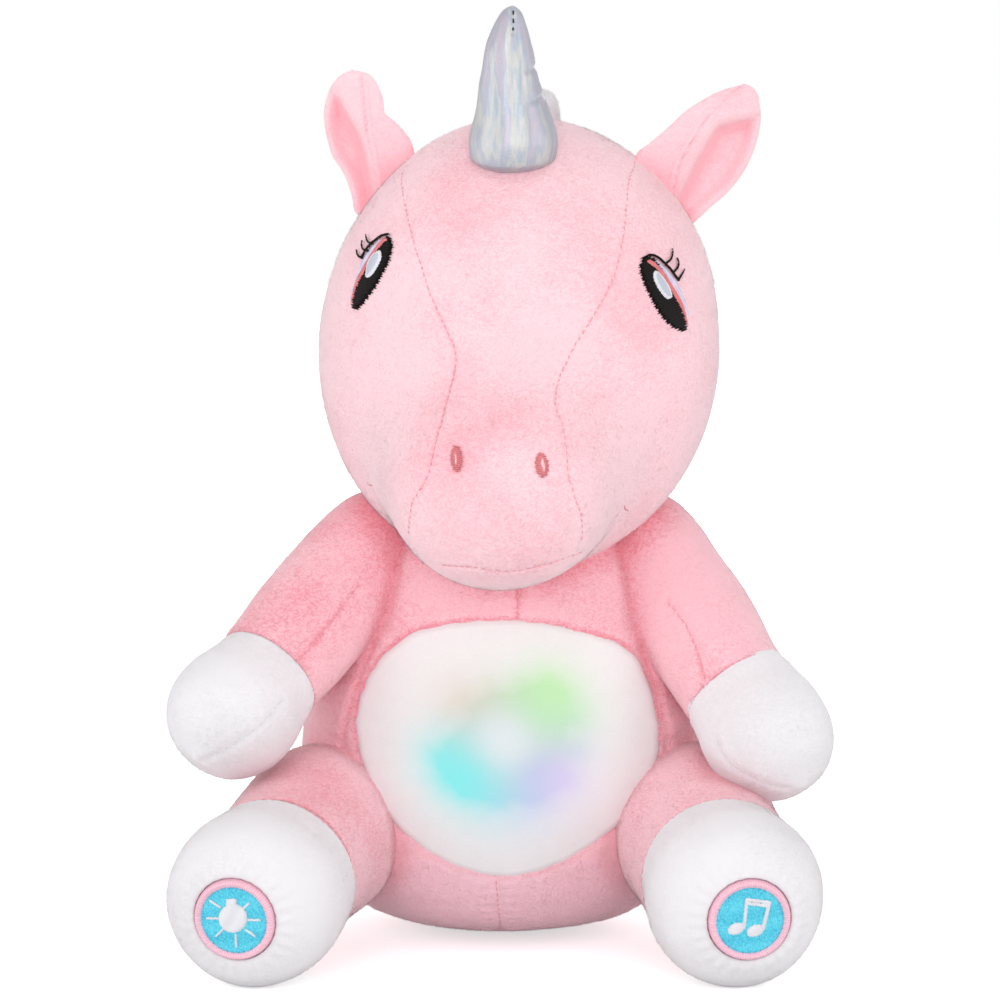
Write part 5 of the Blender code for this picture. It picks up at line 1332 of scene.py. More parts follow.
EYES = {
    -1: {
        "black": (
            (390, 235), (392, 240), (394, 244), (393, 252), (390, 263), (385, 273), (380, 283), (375, 291),
            (368, 300), (361, 308), (355, 311), (353, 307), (353, 302), (357, 287), (363, 273), (370, 259),
            (378, 247), (384, 240),
        ),
        "coral": (
            (385, 239), (378, 247), (372, 256), (366, 266), (361, 275), (357, 285), (354, 296),
            (352.5, 304), (354, 304), (356, 297), (359, 288), (363, 280), (367, 274), (370, 266),
            (376, 257), (379, 253), (385, 246), (390, 241), (388, 239),
        ),
        "lilac": (
            (383, 239), (379, 241), (373, 247), (367, 254), (362, 263), (358, 273), (355, 283), (352, 293),
            (351.5, 301), (355, 296), (358, 285), (362, 275), (367, 266), (373, 256), (379, 247),
            (385, 240),
        ),
        "light": (
            (382, 251), (384, 253), (384, 260), (381, 267), (376, 275), (371, 279), (368, 278), (368, 273),
            (369, 266), (372, 259), (376, 254),
        ),
        "lashes": (
            ((375, 244.5), (371, 243.5), (369, 240), (368.3, 236)),
            ((370, 252), (366, 250.5), (364.3, 247), (364.5, 242)),
            ((364.5, 259), (361.5, 257.5), (359.7, 254.5), (359.3, 251)),
        ),
        "lid": ((390, 235.5), (384, 237), (379, 240.5), (374, 244.5), (369, 250.5), (364.5, 258)),
        "angle": 20,
    },
    1: {
        "black": (
            (650, 256), (646, 256), (641, 259), (639, 264), (638.5, 271), (641, 280), (644, 288),
            (648, 296), (653, 306), (658, 314), (664, 322), (671, 328), (678, 331.5), (684, 331),
            (686, 326), (683, 314), (676, 297), (668, 282), (660, 268), (655, 260),
        ),
        "coral": (
            (644, 261), (648, 260), (653, 263), (659, 269), (664, 276), (670, 285), (676, 295), (681, 305),
            (684, 315), (686, 325), (685, 326), (683, 320), (680, 312), (675, 303), (670, 295), (667, 290),
            (662, 282), (657, 275), (652, 269), (645, 264),
        ),
        "lilac": (
            (651, 259), (657, 261), (663, 267), (669, 273), (675, 281), (679, 287), (683, 296), (686, 305),
            (688, 314), (687.5, 320), (685, 315), (681, 304), (676, 294), (670, 284), (664, 275),
            (659, 268), (653, 262),
        ),
        "light": (
            (653, 271), (657, 273), (662, 279), (666, 285), (669, 292), (670, 297), (668, 299.5),
            (663, 299), (657, 292), (653, 285), (650.5, 278), (651, 273),
        ),
        "lashes": (
            ((664, 264), (668, 260.5), (670, 255.5), (670, 250)),
            ((671, 273), (675, 268.5), (676, 263.5), (674.5, 259)), ((676, 280), (679, 275.5), (682, 270)),
        ),
        "lid": ((647, 256), (652, 256.5), (658, 260), (663, 265), (668, 270), (672, 275.5), (676, 281)),
        "angle": 155,
    },
}


def build_eyes(tree):
    """The embroidered eyes: black satin, coral and lilac bands, a catch-light and three lashes each."""
    put = on_head(tree)
    black = thread_material("black_thread", (0.004, 0.003, 0.003), (0.013, 0.010, 0.010), 0.06)
    coral = thread_material("coral_thread", (0.80, 0.22, 0.22), (0.55, 0.12, 0.13))
    lilac = thread_material("lilac_thread", (0.72, 0.70, 0.86), (0.52, 0.50, 0.68))
    grey = thread_material("grey_thread", (0.58, 0.63, 0.72), (0.42, 0.46, 0.55))
    for side, eye in EYES.items():
        tag = tag_of(side)
        turned_by = eye["angle"]
        across = turned_by + 90
        patches = (
            ("black", "black", 0.0008, 0.0003, black, across, 0.0, 2.6, 0.4),
            ("lilac", "lilac", 0.0007, 0.0003, lilac, turned_by, 0.0, 1.5, 0.15),
            ("coral", "coral", 0.0006, 0.0009, coral, turned_by, 0.0, 1.5, 0.15),
            ("light_rim", "light", 0.0005, 0.0011, white_thread(), across, 0.0, 1.5, 0.15),
            ("light", "light", 0.0006, 0.0013, grey, across, 1.6, 1.5, 0.15),
        )
        for name, shape, height, ground, material, angle, inset, pitch, ragged in patches:
            outline = closed_curve(eye[shape], 4)
            patch = stitched(
                f"eye_{name}_{tag}", lambda p, o=outline, i=inset: polygon_gap(p, o) + i,
                room_round(outline, 1), 0.4, put, METRES_PER_PIXEL, height, angle, pitch,
                material, ground, ragged=ragged)
            settle(patch, "head", "eye_" + tag if name == "black" else None)
        tapers = [0.5] * len(eye["lashes"]) + [0.1]
        for i, (line, taper) in enumerate(zip(eye["lashes"] + (eye["lid"],), tapers)):
            bent = curve_through(line, 5)
            lash = stitched(
                f"eye_lash_{i + 1}_{tag}", lambda p, b=bent, t=taper: stroke_gap(p, b, 3.0, t),
                room_round(bent, 3), 0.33, put, METRES_PER_PIXEL, 0.0007, turned_by, 1.3,
                black, 0.0011, ragged=0.05)
            settle(lash, "head")


NOSTRILS = {-1: (457, 459, 6.6, 14.0, 3), 1: (541.5, 465.5, 7.2, 13.2, 8)}


def build_nostrils(tree):
    """The nostrils: a rose ring of satin stitches round a paler middle."""
    put = on_head(tree)
    rose = thread_material("rose_thread", (0.80, 0.29, 0.30), (0.56, 0.13, 0.15))
    pale = thread_material("pale_thread", (0.95, 0.62, 0.64), (0.86, 0.46, 0.50))
    for side, (px, py, wide, tall, lean) in NOSTRILS.items():
        tag = tag_of(side)
        turn = turns(32)
        x, y = wide * np.cos(turn), tall * np.sin(turn)
        cos, sin = math.cos(math.radians(lean)), math.sin(math.radians(lean))
        ring = np.stack([px + x * cos + y * sin, py - x * sin + y * cos], axis=1)
        outer = stitched(
            "nostril_ring_" + tag, lambda p, r=ring: polygon_gap(p, r) + 0.5, room_round(ring, 1), 0.3, put,
            METRES_PER_PIXEL, 0.0008, lean + 96, 1.9, rose, 0.0003, ragged=0.45, ridge=0.0003)
        settle(outer, "head", "nostril_" + tag)
        inner = stitched(
            "nostril_middle_" + tag, lambda p, r=ring: polygon_gap(p, r) + 4.9, room_round(ring, 1), 0.3, put,
            METRES_PER_PIXEL, 0.0004, lean + 6, 1.5, pale, 0.0010, ragged=0.25)
        settle(inner, "head")


# Limbs

def tucked(at, radius):
    """The hidden start of a skin that lies under the skin before it, as an outline."""
    return np.array([
        [at - 0.003, radius * 0.3], [at - 0.003, radius - 0.0014], [at - 0.0008, radius - 0.0004],
        [at, radius],
    ])


def limb_points(outline, start, stop, matrix, rings, sides):
    """A stretch of a limb's skin in fine rings, closed at both ends."""
    low = np.interp(start, outline[:, 0], outline[:, 1])
    high = np.interp(stop, outline[:, 0], outline[:, 1])
    rows = [outline[(outline[:, 0] > start) & (outline[:, 0] < stop)]]
    if start > 0:
        rows.insert(0, tucked(start, low))
    if stop < outline[-1, 0] - 1e-6:
        rows.append(np.array([
            [stop, high], [stop + 0.0002, high - 0.0006], [stop - 0.002, high - 0.004],
            [stop - 0.003, high * 0.3],
        ]))
    curve = even_steps(np.vstack(rows), rings)
    return turned(curve[curve[:, 1] > 0.0004], matrix, sides)


def smooth_cuff(skin, matrix, outline, cuff):
    """Gives a skin's hidden edge at its cuff the limb's own outward directions, and no pile."""
    inner = moved(matrix.inverted(), skin.points)
    reach = np.hypot(inner[:, 0], inner[:, 1])
    full = np.interp(inner[:, 2], outline[:, 0], outline[:, 1])
    near = np.abs(inner[:, 2] - cuff) < 0.0045
    hidden = near & (reach < full - 0.0006)
    edge = hidden | (np.abs(inner[:, 2] - cuff) < 0.0009)
    radial = np.stack([inner[:, 0], inner[:, 1], inner[:, 2] * 0], axis=1) @ np.array(matrix.to_3x3()).T
    skin.normals[edge] = unit(radial[edge])
    skin.pile[hidden] = 0


def limb_tree(matrix, outline):
    """A search tree over a whole limb."""
    return drop_tree(*limb_points(outline, 0, outline[-1, 0], matrix, 90, 90))


def limb_ring(matrix, outline, along, count=60):
    """The line round a limb at a place along it."""
    radius = np.interp(along, outline[:, 0], outline[:, 1])
    turn = np.linspace(0, math.tau, count + 1)
    local = np.stack([radius * np.cos(turn), radius * np.sin(turn), np.full(count + 1, along)], axis=1)
    return moved(matrix, local)


ARM_SEAMS = {
    -1: {
        "sleeve": ((359, 585), (345, 603), (328, 626), (310, 648), (296, 664)),
        "hoof": ((282, 700), (276, 707), (262, 723), (242, 738), (222, 751), (202, 761)),
    },
    1: {
        "sleeve": ((667, 601), (679, 616), (688, 630), (697, 653), (703, 675), (709, 702)),
        "hoof": ((716, 740), (730, 763), (742, 771), (754, 778), (787, 789), (812, 790)),
    },
}


def settle_limb(body, pink, pink_node, white, white_node):
    """Places a limb's pink and white pieces on their body."""
    settle(pink, body, pink_node)
    settle(white, body, white_node)


def build_arm(side):
    """An arm's plush sleeve and its white hoof, with the cuff and front seams."""
    plush = plush_look()
    tag = tag_of(side)
    matrix = arm_frame(side)
    cuff = CUFF_SHARE * ARM_LENGTH
    axis = tuple(matrix.to_3x3() @ Vector((0, 0, 1)))
    tree = limb_tree(matrix, ARM_OUTLINE)
    ring = limb_ring(matrix, ARM_OUTLINE, cuff)
    sleeve = Skin(*limb_points(ARM_OUTLINE, 0, cuff + 0.0004, matrix, 110, 110))
    hoof = Skin(*limb_points(ARM_OUTLINE, cuff, ARM_LENGTH, matrix, 80, 110))
    for skin, seed in ((sleeve, 31 + side), (hoof, 41 + side)):
        skin.plump(0.022, plush.lump_height * 0.9, seed)
        # Painted shade in the cuff seam's groove.
        skin.sew(ring, plush.seam_depth * 0.6, 0.0011, 0.00016, 0.003, 0.3)
    front = drawn(tree, ARM_SEAMS[side]["sleeve"])
    # Painted shade in the front seam's groove.
    sleeve.sew(front, plush.seam_depth * 0.7, 0.0012, 0.00016, tone=0.5)
    under = drawn(tree, ARM_SEAMS[side]["hoof"])
    # Painted shade in the hoof's under seam.
    hoof.sew(under, plush.seam_depth * 0.45, 0.0012, 0.0001, tone=0.3)
    body = "arm_" + tag
    thread_row("sleeve_stitches_" + tag, [front], sleeve, pink_thread(), body, seed=7)
    pale = thread_material("pale_seam_thread", (0.80, 0.78, 0.80), (0.66, 0.62, 0.64), 0.3)
    thread_row("hoof_stitches_" + tag, [under], hoof, pale, body, seed=8)
    # Painted shade where the sleeve meets the torso and head, and where the hoof meets the leg.
    sleeve.crease_and_paint_shade(torso_gap(sleeve.points), 0.005, 0.0008, 0.4)
    sleeve.crease_and_paint_shade(head_gap(sleeve.points), 0.006, 0.0006)
    hoof.crease_and_paint_shade(leg_gap(hoof.points, side) - 0.001, 0.004, 0.0004)
    thread_row(
        "cuff_stitches_" + tag, [ring], sleeve, pink_thread(), body, 0.0021, 0.0018, 0.00023,
        12)
    smooth_cuff(sleeve, matrix, ARM_OUTLINE, cuff)
    smooth_cuff(hoof, matrix, ARM_OUTLINE, cuff)
    pink = plush_piece("sleeve_" + tag, sleeve, body_material(), plush, axis, 51 + side)
    white = plush_piece("hoof_" + tag, hoof, white_material(), plush, axis, 61 + side, 0.75)
    settle_limb(body, pink, "arm_" + tag, white, "hoof_cap_" + tag)


def build_leg(side):
    """A leg's plush and its white foot, with a dimple in the sole for the badge."""
    plush = plush_look()
    tag = tag_of(side)
    matrix = leg_frame(side)
    cuff = SOLE_CUFF_SHARE * LEG_LENGTH
    axis = tuple(matrix.to_3x3() @ Vector((0, 0, 1)))
    ring = limb_ring(matrix, LEG_OUTLINE, cuff)
    leg = Skin(*limb_points(LEG_OUTLINE, 0, cuff + 0.0004, matrix, 110, 130))
    mouth = np.interp(WELL_RADIUS, LEG_OUTLINE[::-1, 1][:60], LEG_OUTLINE[::-1, 0][:60])
    foot_outline = LEG_OUTLINE[LEG_OUTLINE[:, 0] < mouth]
    wall = WELL_RADIUS - 0.0001
    bottom = LEG_LENGTH - 0.006
    well = np.array([
        [mouth, WELL_RADIUS], [mouth - 0.0006, wall], [mouth - 0.003, wall], [LEG_LENGTH - 0.0055, wall],
        [bottom, WELL_RADIUS - 0.001], [bottom, 0.0006],
    ])
    profile = np.vstack([foot_outline, well])
    kept = profile[profile[:, 0] > cuff]
    curve = even_steps(np.vstack([tucked(cuff, np.interp(cuff, profile[:, 0], profile[:, 1])), kept]), 130)
    foot = Skin(*turned(curve, matrix, 140))
    for skin, seed in ((leg, 71 + side), (foot, 81 + side)):
        inner = moved(matrix.inverted(), skin.points)
        calm = eased(0.016, 0.021, np.hypot(inner[:, 0], inner[:, 1])) if skin is foot else 1
        lumps = soft_noise(skin.points, 0.026, seed) * plush.lump_height
        skin.push(lumps * calm)
        # Painted shade in the cuff seam's groove, and where the leg and foot meet the torso.
        skin.sew(ring, plush.seam_depth * 0.6, 0.0011, 0.00016, 0.003, 0.3)
        skin.crease_and_paint_shade(torso_gap(skin.points), 0.005, 0.001)
    inner = moved(matrix.inverted(), foot.points)
    out = np.hypot(inner[:, 0], inner[:, 1])
    sole = inner[:, 2] > cuff + 0.01
    foot.pile = np.where(sole & (out < WELL_RADIUS - 0.0003), 0, foot.pile)
    turn = np.arctan2(inner[:, 1], inner[:, 0])
    puckers = 0.00025 * np.sin(turn * 26) * np.exp(-((out - WELL_RADIUS - 0.0035) / 0.003) ** 2) * sole
    foot.push(puckers)
    # Painted shade round the badge's well.
    foot.mark(0.5 * np.exp(-((out - WELL_RADIUS) / 0.0008) ** 2) * sole)
    # Painted shade where the arm rests on the foot and leg.
    foot.crease_and_paint_shade(arm_gap(foot.points, side) - 0.001, 0.004, 0.0003)
    leg.crease_and_paint_shade(arm_gap(leg.points, side) - 0.001, 0.005, 0.0003)
    for skin in (leg, foot):
        skin.pile = np.where(skin.points[:, 2] < 0.0015, 0, skin.pile)
        skin.rest_on_floor()
    # Painted light: the legs are made paler near the floor.
    leg.tone = leg.tone - 0.22 * eased(0.045, 0.015, leg.points[:, 2])
    thread_row(
        "foot_stitches_" + tag, [ring], leg, pink_thread(), "torso", 0.0021, 0.0018, 0.00023,
        13)
    smooth_cuff(leg, matrix, LEG_OUTLINE, cuff)
    smooth_cuff(foot, matrix, LEG_OUTLINE, cuff)
    pink = plush_piece("leg_plush_" + tag, leg, body_material(), plush, axis, 91 + side)
    middle = moved(matrix, np.array([[0, 0, LEG_LENGTH]]))[0]

    def nap(points):
        """The way that the foot's pile is brushed: to the sole, and over the badge's edge."""
        inwards = middle - points
        reach = np.linalg.norm(inwards, axis=1, keepdims=True)
        return np.array(axis) + unit(inwards) * 2.5 * (reach < WELL_RADIUS * 1.3)

    white = plush_piece("foot_plush_" + tag, foot, white_material(), plush, nap, 101 + side, 0.7)
    settle_limb("torso", pink, "leg_" + tag, white, "foot_cap_" + tag)


# Badges

BULB_RAYS = (
    ((-7.5, 6.5), (-4.3, 4.4)), ((5.1, 5.7), (3.4, 4.1)), ((-8.6, 0.8), (-5.2, 0.8)),
    ((8.6, 0.2), (5.0, 0.3)), ((-5.6, -5.0), (-3.5, -2.9)), ((7.0, -5.0), (4.2, -3.1)),
    ((1.0, -8.4), (0.8, -4.6)),
)


def bulb_gap(places):
    """The light bulb's outline, in millimetres: a round bulb, its cap and seven rays."""
    gap = np.linalg.norm(places - np.array((-0.1, 0.8)), axis=1) - 4.8
    gap = np.minimum(gap, (np.abs(places - np.array((-0.6, 6.1))) - np.array((1.85, 1.2))).max(axis=1))
    for ray in BULB_RAYS:
        gap = np.minimum(gap, stroke_gap(places, ray, 0.95))
    return gap


NOTE_TILT = 20


def oval_gap(places, centre, half):
    """The outline of one of the note's heads, a tilted oval."""
    turn = math.radians(NOTE_TILT)
    cos, sin = math.cos(turn), math.sin(turn)
    local = (places - np.array(centre)) @ np.array(((cos, -sin), (sin, cos)))
    return (np.linalg.norm(local / np.array(half), axis=1) - 1) * min(half)


def note_gap(places):
    """The music note's outline, in millimetres: two heads, two stems and a beam."""
    gap = oval_gap(places, (-4.7, -2.5), (3.0, 1.95))
    gap = np.minimum(gap, oval_gap(places, (1.6, -3.1), (3.0, 2.0)))
    gap = np.minimum(gap, stroke_gap(places, ((-1.2, 7.0), (-2.1, -2.0)), 1.35))
    gap = np.minimum(gap, stroke_gap(places, ((6.2, 5.9), (4.1, -2.4)), 1.5))
    for rise in (0.6, -0.6):
        gap = np.minimum(gap, stroke_gap(places, ((-0.9, 6.4 + rise), (6.1, 5.5 + rise)), 1.3))
    return gap


def build_badge(side):
    """A sole's badge: a pink satin ring, a cyan field and a white sign."""
    tag = tag_of(side)
    matrix = leg_frame(side) @ Matrix.Translation((0, 0, LEG_LENGTH))
    lowered = -0.0012
    flat = np.array(matrix.to_3x3())
    sign = -1 if flat[2, 1] < 0 else 1

    def put(places):
        """Points and outward directions on the badge's face, with places in millimetres."""
        reach = np.linalg.norm(places, axis=1)
        bulge = 0.0006 * (1 - (reach / 14) ** 2) - 0.0024 * np.clip((reach - radius + 0.8) / 0.8, 0, 1) ** 2
        local = np.stack([places[:, 0] * 0.001, sign * places[:, 1] * 0.001, lowered + bulge], axis=1)
        normals = np.tile(flat[:, 2], (len(places), 1))
        return moved(matrix, local), normals

    middle = moved(matrix, np.array([[0, 0, lowered + 0.0005]]))[0]

    def put_sign(places):
        """Points and outward directions of the sign, upright in the picture, with places in millimetres."""
        spots = in_picture(middle[None])[0] + places * (0.001, -0.001) / METRES_PER_PIXEL
        sights = np.array([tuple(ray_of(px, py)[1]) for px, py in spots])
        eye = np.array(camera_place()[0])
        far = (middle - eye) @ flat[:, 2] / (sights @ flat[:, 2])
        return eye + sights * far[:, None], np.tile(flat[:, 2], (len(places), 1))

    radius = BADGE_RADIUS * 1000
    cyan = thread_material("cyan_thread", (0.13, 0.68, 0.84), (0.012, 0.36, 0.56), 0.3, 1500.0, 2.2)
    pink = thread_material("pink_thread", (0.94, 0.60, 0.70), (0.80, 0.38, 0.49), 0.8)
    bounds = (-radius - 0.3, -radius - 0.3, radius + 0.3, radius + 0.3)

    def field_gap(places):
        """The field's outline, in millimetres."""
        return np.linalg.norm(places, axis=1) - (radius - 1.8)

    def ring_gap(places):
        """The outer ring's outline, in millimetres."""
        return np.abs(np.linalg.norm(places, axis=1) - (radius - 1.35)) - 1.42

    field = stitched(
        "badge_field_" + tag, field_gap, bounds, 0.16, put, 0.001, 0.0010, 8, 0.8, cyan,
        ridge=0.00006, groove_shade=0.12)
    ring = stitched(
        "badge_ring_" + tag, ring_gap, bounds, 0.14, put, 0.001, 0.0014, 0, 0.7, pink, 0.0006, True, 0.12,
        0.00025)
    shape = bulb_gap if side < 0 else note_gap
    icon = stitched(
        "badge_sign_" + tag, shape, (-9.5, -9.5, 9.5, 9.5), 0.13, put_sign, 0.001, 0.0006, 60, 0.55,
        white_thread(), 0.0011, ragged=0.12)
    settle(field, "button_" + tag, "badge_" + tag)
    for piece in (ring, icon):
        settle(piece, "button_" + tag)


# Horn, ears, mane and tail

HORN_SEAM = ((513, 9), (513.5, 20), (513, 33))
HORN_SHARES = (
    (0.0, 0.0), (0.015, 0.62), (0.05, 0.88), (0.09, 0.965), (0.2, 0.985), (0.29, 0.90), (0.39, 0.79),
    (0.5, 0.695), (0.61, 0.605), (0.72, 0.54), (0.83, 0.425), (0.94, 0.255), (0.98, 0.14), (1.0, 0.0),
)


def build_horn():
    """The horn: a cone of holographic cloth with soft upright pleats, tucked in at its foot."""
    angle = math.radians(HORN_PLACE_ANGLE)
    direction = np.array([[0, -math.sin(angle), math.cos(angle)]])
    foot = moved(head_frame(), direction * head_reach(direction)[:, None])[0] + (HORN_ASIDE, 0, 0)
    lean = math.radians(HORN_LEAN_ANGLE)
    axis = Vector((0, -math.sin(lean), math.cos(lean)))
    matrix = frame_at(Vector(foot) - axis * (HORN_ROOT_DEPTH - HORN_LIFT), axis)
    outline = outline_of(HORN_SHARES, HORN_LENGTH - 2 * HORN_LIFT, HORN_RADIUS, 190)[1:-1]
    sides = 180
    turn = turns(sides)
    along = outline[:, 0][:, None]
    radius = outline[:, 1][:, None]
    share = along / HORN_LENGTH
    lobes = 0.55 * np.cos(7 * turn + 1.5 * share) + 0.35 * np.cos(11 * turn - 2.5 * share + 1)
    pleats = 0.00022 * lobes * np.clip(radius / HORN_RADIUS, 0.15, 1) * (0.5 + eased(0.05, 0.4, share))
    bow = -0.001 * np.interp(share, (0.28, 0.39, 0.5, 0.72, 0.83, 0.94), (0.0, 0.5, 1.15, 1.35, 0.8, 0.0))
    tucks = 0.0007 * np.exp(-((share - 0.58) / 0.016) ** 2) + 0.0009 * np.exp(-((share - 0.42) / 0.018) ** 2)
    tucks = tucks * np.clip(np.cos(turn - 0.1), 0, 1) ** 2
    x = (radius + pleats - tucks) * np.cos(turn) + bow
    y = (radius + pleats - tucks) * np.sin(turn)
    local = np.stack([x, y, np.repeat(along, sides, axis=1)], axis=-1).reshape(-1, 3)
    skin = Skin(*ring_skin(moved(matrix, local).reshape(len(outline), sides, 3)))
    skin.push(0.00035 * soft_noise(skin.points * (1, 1, 0.6), 0.009, 12))
    tip_seam = drawn(skin.tree(), HORN_SEAM, 8)
    skin.sew(tip_seam, 0.0003, 0.0006)
    dark = thread_material("horn_thread", (0.035, 0.035, 0.045), (0.02, 0.02, 0.02), 0.1)
    thread_row("horn_stitches", [tip_seam], skin, dark, "head", 0.0021, 0.0015, 0.00027, 9)
    horn = new_piece("horn_cone", skin.points, skin.faces(), horn_material(), skin.tone)
    settle(horn, "head", "horn")


EARS = {
    -1: {
        "centre": (357, 130),
        "edge": (
            (352, 70), (366, 73), (373, 78), (379, 88), (383, 99), (385, 113), (394, 121), (403, 130),
            (412, 144), (414, 166), (396, 196), (373, 220), (356, 213), (352, 197), (347, 181), (341, 169),
            (333, 157), (328, 142), (325, 128), (324, 112), (327, 97), (332, 85), (341, 75),
        ),
        "lip": (
            (333, 86), (337, 92), (343, 101), (349, 112), (357, 127), (362, 136), (366, 148), (370, 165),
            (374, 182), (380, 205),
        ),
        "seam": ((362, 72), (363, 86), (364, 100), (366, 118), (369, 140), (373, 160), (377, 182)),
        "fold_side": 1,
    },
    1: {
        "centre": (712, 150),
        "edge": (
            (745, 84), (752, 87), (758, 95), (760, 107), (761, 117), (759, 133), (754, 150), (747, 166),
            (738, 180), (726, 194), (712, 206), (700, 217), (686, 229), (668, 232), (652, 214), (640, 185),
            (636, 156), (650, 143), (663, 132), (673, 123), (681, 115), (690, 108), (706, 98), (720, 91),
            (733, 87),
        ),
        "lip": (
            (756, 115), (748, 117), (737, 119), (725, 122), (716, 125), (709, 133), (702, 146), (694, 160),
            (687, 175), (680, 188), (668, 206),
        ),
        "seam": (
            (741, 86), (728, 95), (714, 108), (705, 120), (695, 136), (685, 152), (678, 168), (674, 186),
            (668, 200),
        ),
        "fold_side": -1,
    },
}


def ear_frame(side):
    """An ear's frame, with its root in the crown and its tip along +Z."""
    spread = math.radians(EAR_SPREAD_ANGLE)
    back = math.radians(EAR_SET_BACK_ANGLE)
    upright = math.cos(spread)
    direction = np.array([[side * math.sin(spread), math.sin(back) * upright, math.cos(back) * upright]])
    foot = moved(head_frame(), direction * head_reach(direction)[:, None])[0]
    lean = math.radians(EAR_LEANS[side])
    axis = Vector((side * math.sin(lean), 0, math.cos(lean)))
    turn = math.radians(EAR_TURN_ANGLE)
    across = Vector((math.cos(turn), side * math.sin(turn), 0))
    return frame_at(Vector(foot) - axis * EAR_ROOT_DEPTH, axis, across)


def line_side(places, line):
    """How far places lie from a line, and on which of its sides, as a signed distance."""
    near = np.full(len(places), 1e9)
    signed = np.zeros(len(places))
    for a, b, _, gap in spans(places, np.asarray(line, float)):
        step = b - a
        turn = step[0] * (places[:, 1] - a[1]) - step[1] * (places[:, 0] - a[0])
        closer = gap < near
        near[closer] = gap[closer]
        signed[closer] = np.where(turn > 0, gap, -gap)[closer]
    return signed


def ear_relief(ear, places):
    """How far an ear's front stands towards the viewer, its back's depth and its tone: painted shade in the
    hollow under the lip and along the stitches, and paler on the fold.
    """
    edge = closed_curve(ear["edge"], 5)
    lip = curve_through(ear["lip"], 4)
    seam = curve_through(ear["seam"], 4)
    inside = np.maximum(-polygon_gap(places, edge), 0)
    over = line_side(places, lip) * -ear["fold_side"]
    stitch = line_side(places, seam)
    dome = np.sqrt(1 - (1 - np.clip(inside / 8, 0, 1)) ** 2)
    hollow = -0.0036 * eased(2, 17, np.minimum(inside, np.abs(over) + 4))
    fold = 0.0026 * np.exp(-(np.maximum(over - 5, 0) / 17) ** 2)
    folded = eased(-4.5, 3.5, over)
    beads = 0.6 + 0.4 * np.sin((places[:, 0] + places[:, 1]) * 0.9)
    front = hollow * (1 - folded) + fold * folded + 0.0013 * dome
    front = front - 0.0007 * beads * np.exp(-(stitch / 1.5) ** 2)
    front = front + 0.0004 * np.exp(-((np.abs(stitch) - 3.6) / 1.8) ** 2)
    back = -0.0052 * eased(0, 17, inside) - 0.0014 * dome
    # Painted shade in the hollow, deepest under the overhang of the lip.
    shade = np.exp(-(np.maximum(-over - 3, 0) / 13) ** 2) * (1 - folded)
    tone = (0.10 + 0.85 * shade) * (1 - folded) * eased(4, 14, inside)
    # Painted shade along the fold's stitch line, and a paler fold.
    tone = tone + folded * (0.4 * np.exp(-(stitch / 1.2) ** 2) - 0.25)
    return front, np.minimum(back, front - 0.0002 - 0.001 * dome), tone


def build_ear(side):
    """A folded ear: pink plush whose hollow is painted deeper as shade, its inner edge turned over and sewn
    down.
    """
    plush = plush_look()
    tag = tag_of(side)
    ear = EARS[side]
    matrix = ear_frame(side)
    inward = matrix.inverted()
    rings, sides = 66, 170
    edge = closed_steps(ear["edge"], sides)
    centre = np.array(ear["centre"], float)
    shares = np.sin(np.linspace(0, math.pi / 2, rings + 1))[1:] ** 0.8
    places = np.vstack([centre] + [centre + (edge - centre) * s for s in shares])
    spot = inward @ camera_place()[0]
    sight = np.array([tuple(ray_of(px, py)[1]) for px, py in places])
    local = sight @ np.array(inward.to_3x3()).T
    reach = (EAR_PLANE - spot.y) / local[:, 1]
    on_plane = moved(matrix, np.array(spot) + local * reach[:, None])
    behind = on_plane[0] + (on_plane - on_plane[0]) * 0.975
    front, back, tone = ear_relief(ear, places)
    count = len(places)
    index, quads, tris = ring_faces(rings, sides)
    a, b, c = on_plane[tris[0]]
    facing = np.cross(b - a, c - a)
    if facing[1] > 0:
        quads, tris = quads[:, ::-1], tris[:, ::-1]
    rim = index[-1]
    walls = rim_walls(rim, count)
    outward = np.cross(on_plane[rim[1]] - on_plane[rim[0]], sight[0])
    if outward @ (on_plane[rim[0]] - on_plane[0]) > 0:
        walls = walls[:, ::-1]
    points = np.vstack([on_plane - sight * front[:, None], behind - sight * back[:, None]])
    skin = Skin(
        points, np.vstack([quads, quads[:, ::-1] + count, walls]), np.vstack([tris, tris[:, ::-1] + count]))
    skin.tone = np.r_[tone, np.zeros(count)]
    calm = np.tile(np.r_[1, np.repeat(1 - shares ** 6, sides)], 2)
    skin.push(0.0003 * soft_noise(points, 0.012, 111 + side) * calm)
    # Painted shade where the ear meets the head.
    skin.crease_and_paint_shade(head_gap(skin.points), 0.004, 0.0, 0.45)
    skin.pile[np.r_[rim, rim + count, rim + count - sides]] = 0
    axis = np.array(matrix.to_3x3())[:, 2]
    made = plush_piece("ear_plush_" + tag, skin, ear_material(), plush, tuple(axis), 121 + side, 0.8)
    settle(made, "head", "ear_" + tag)


MANE_SHARES = (
    (0.0, 0.0), (0.01, 0.5), (0.06, 0.9), (0.2, 1.0), (0.5, 0.96), (0.8, 0.95), (0.95, 0.6), (1.0, 0.0),
)


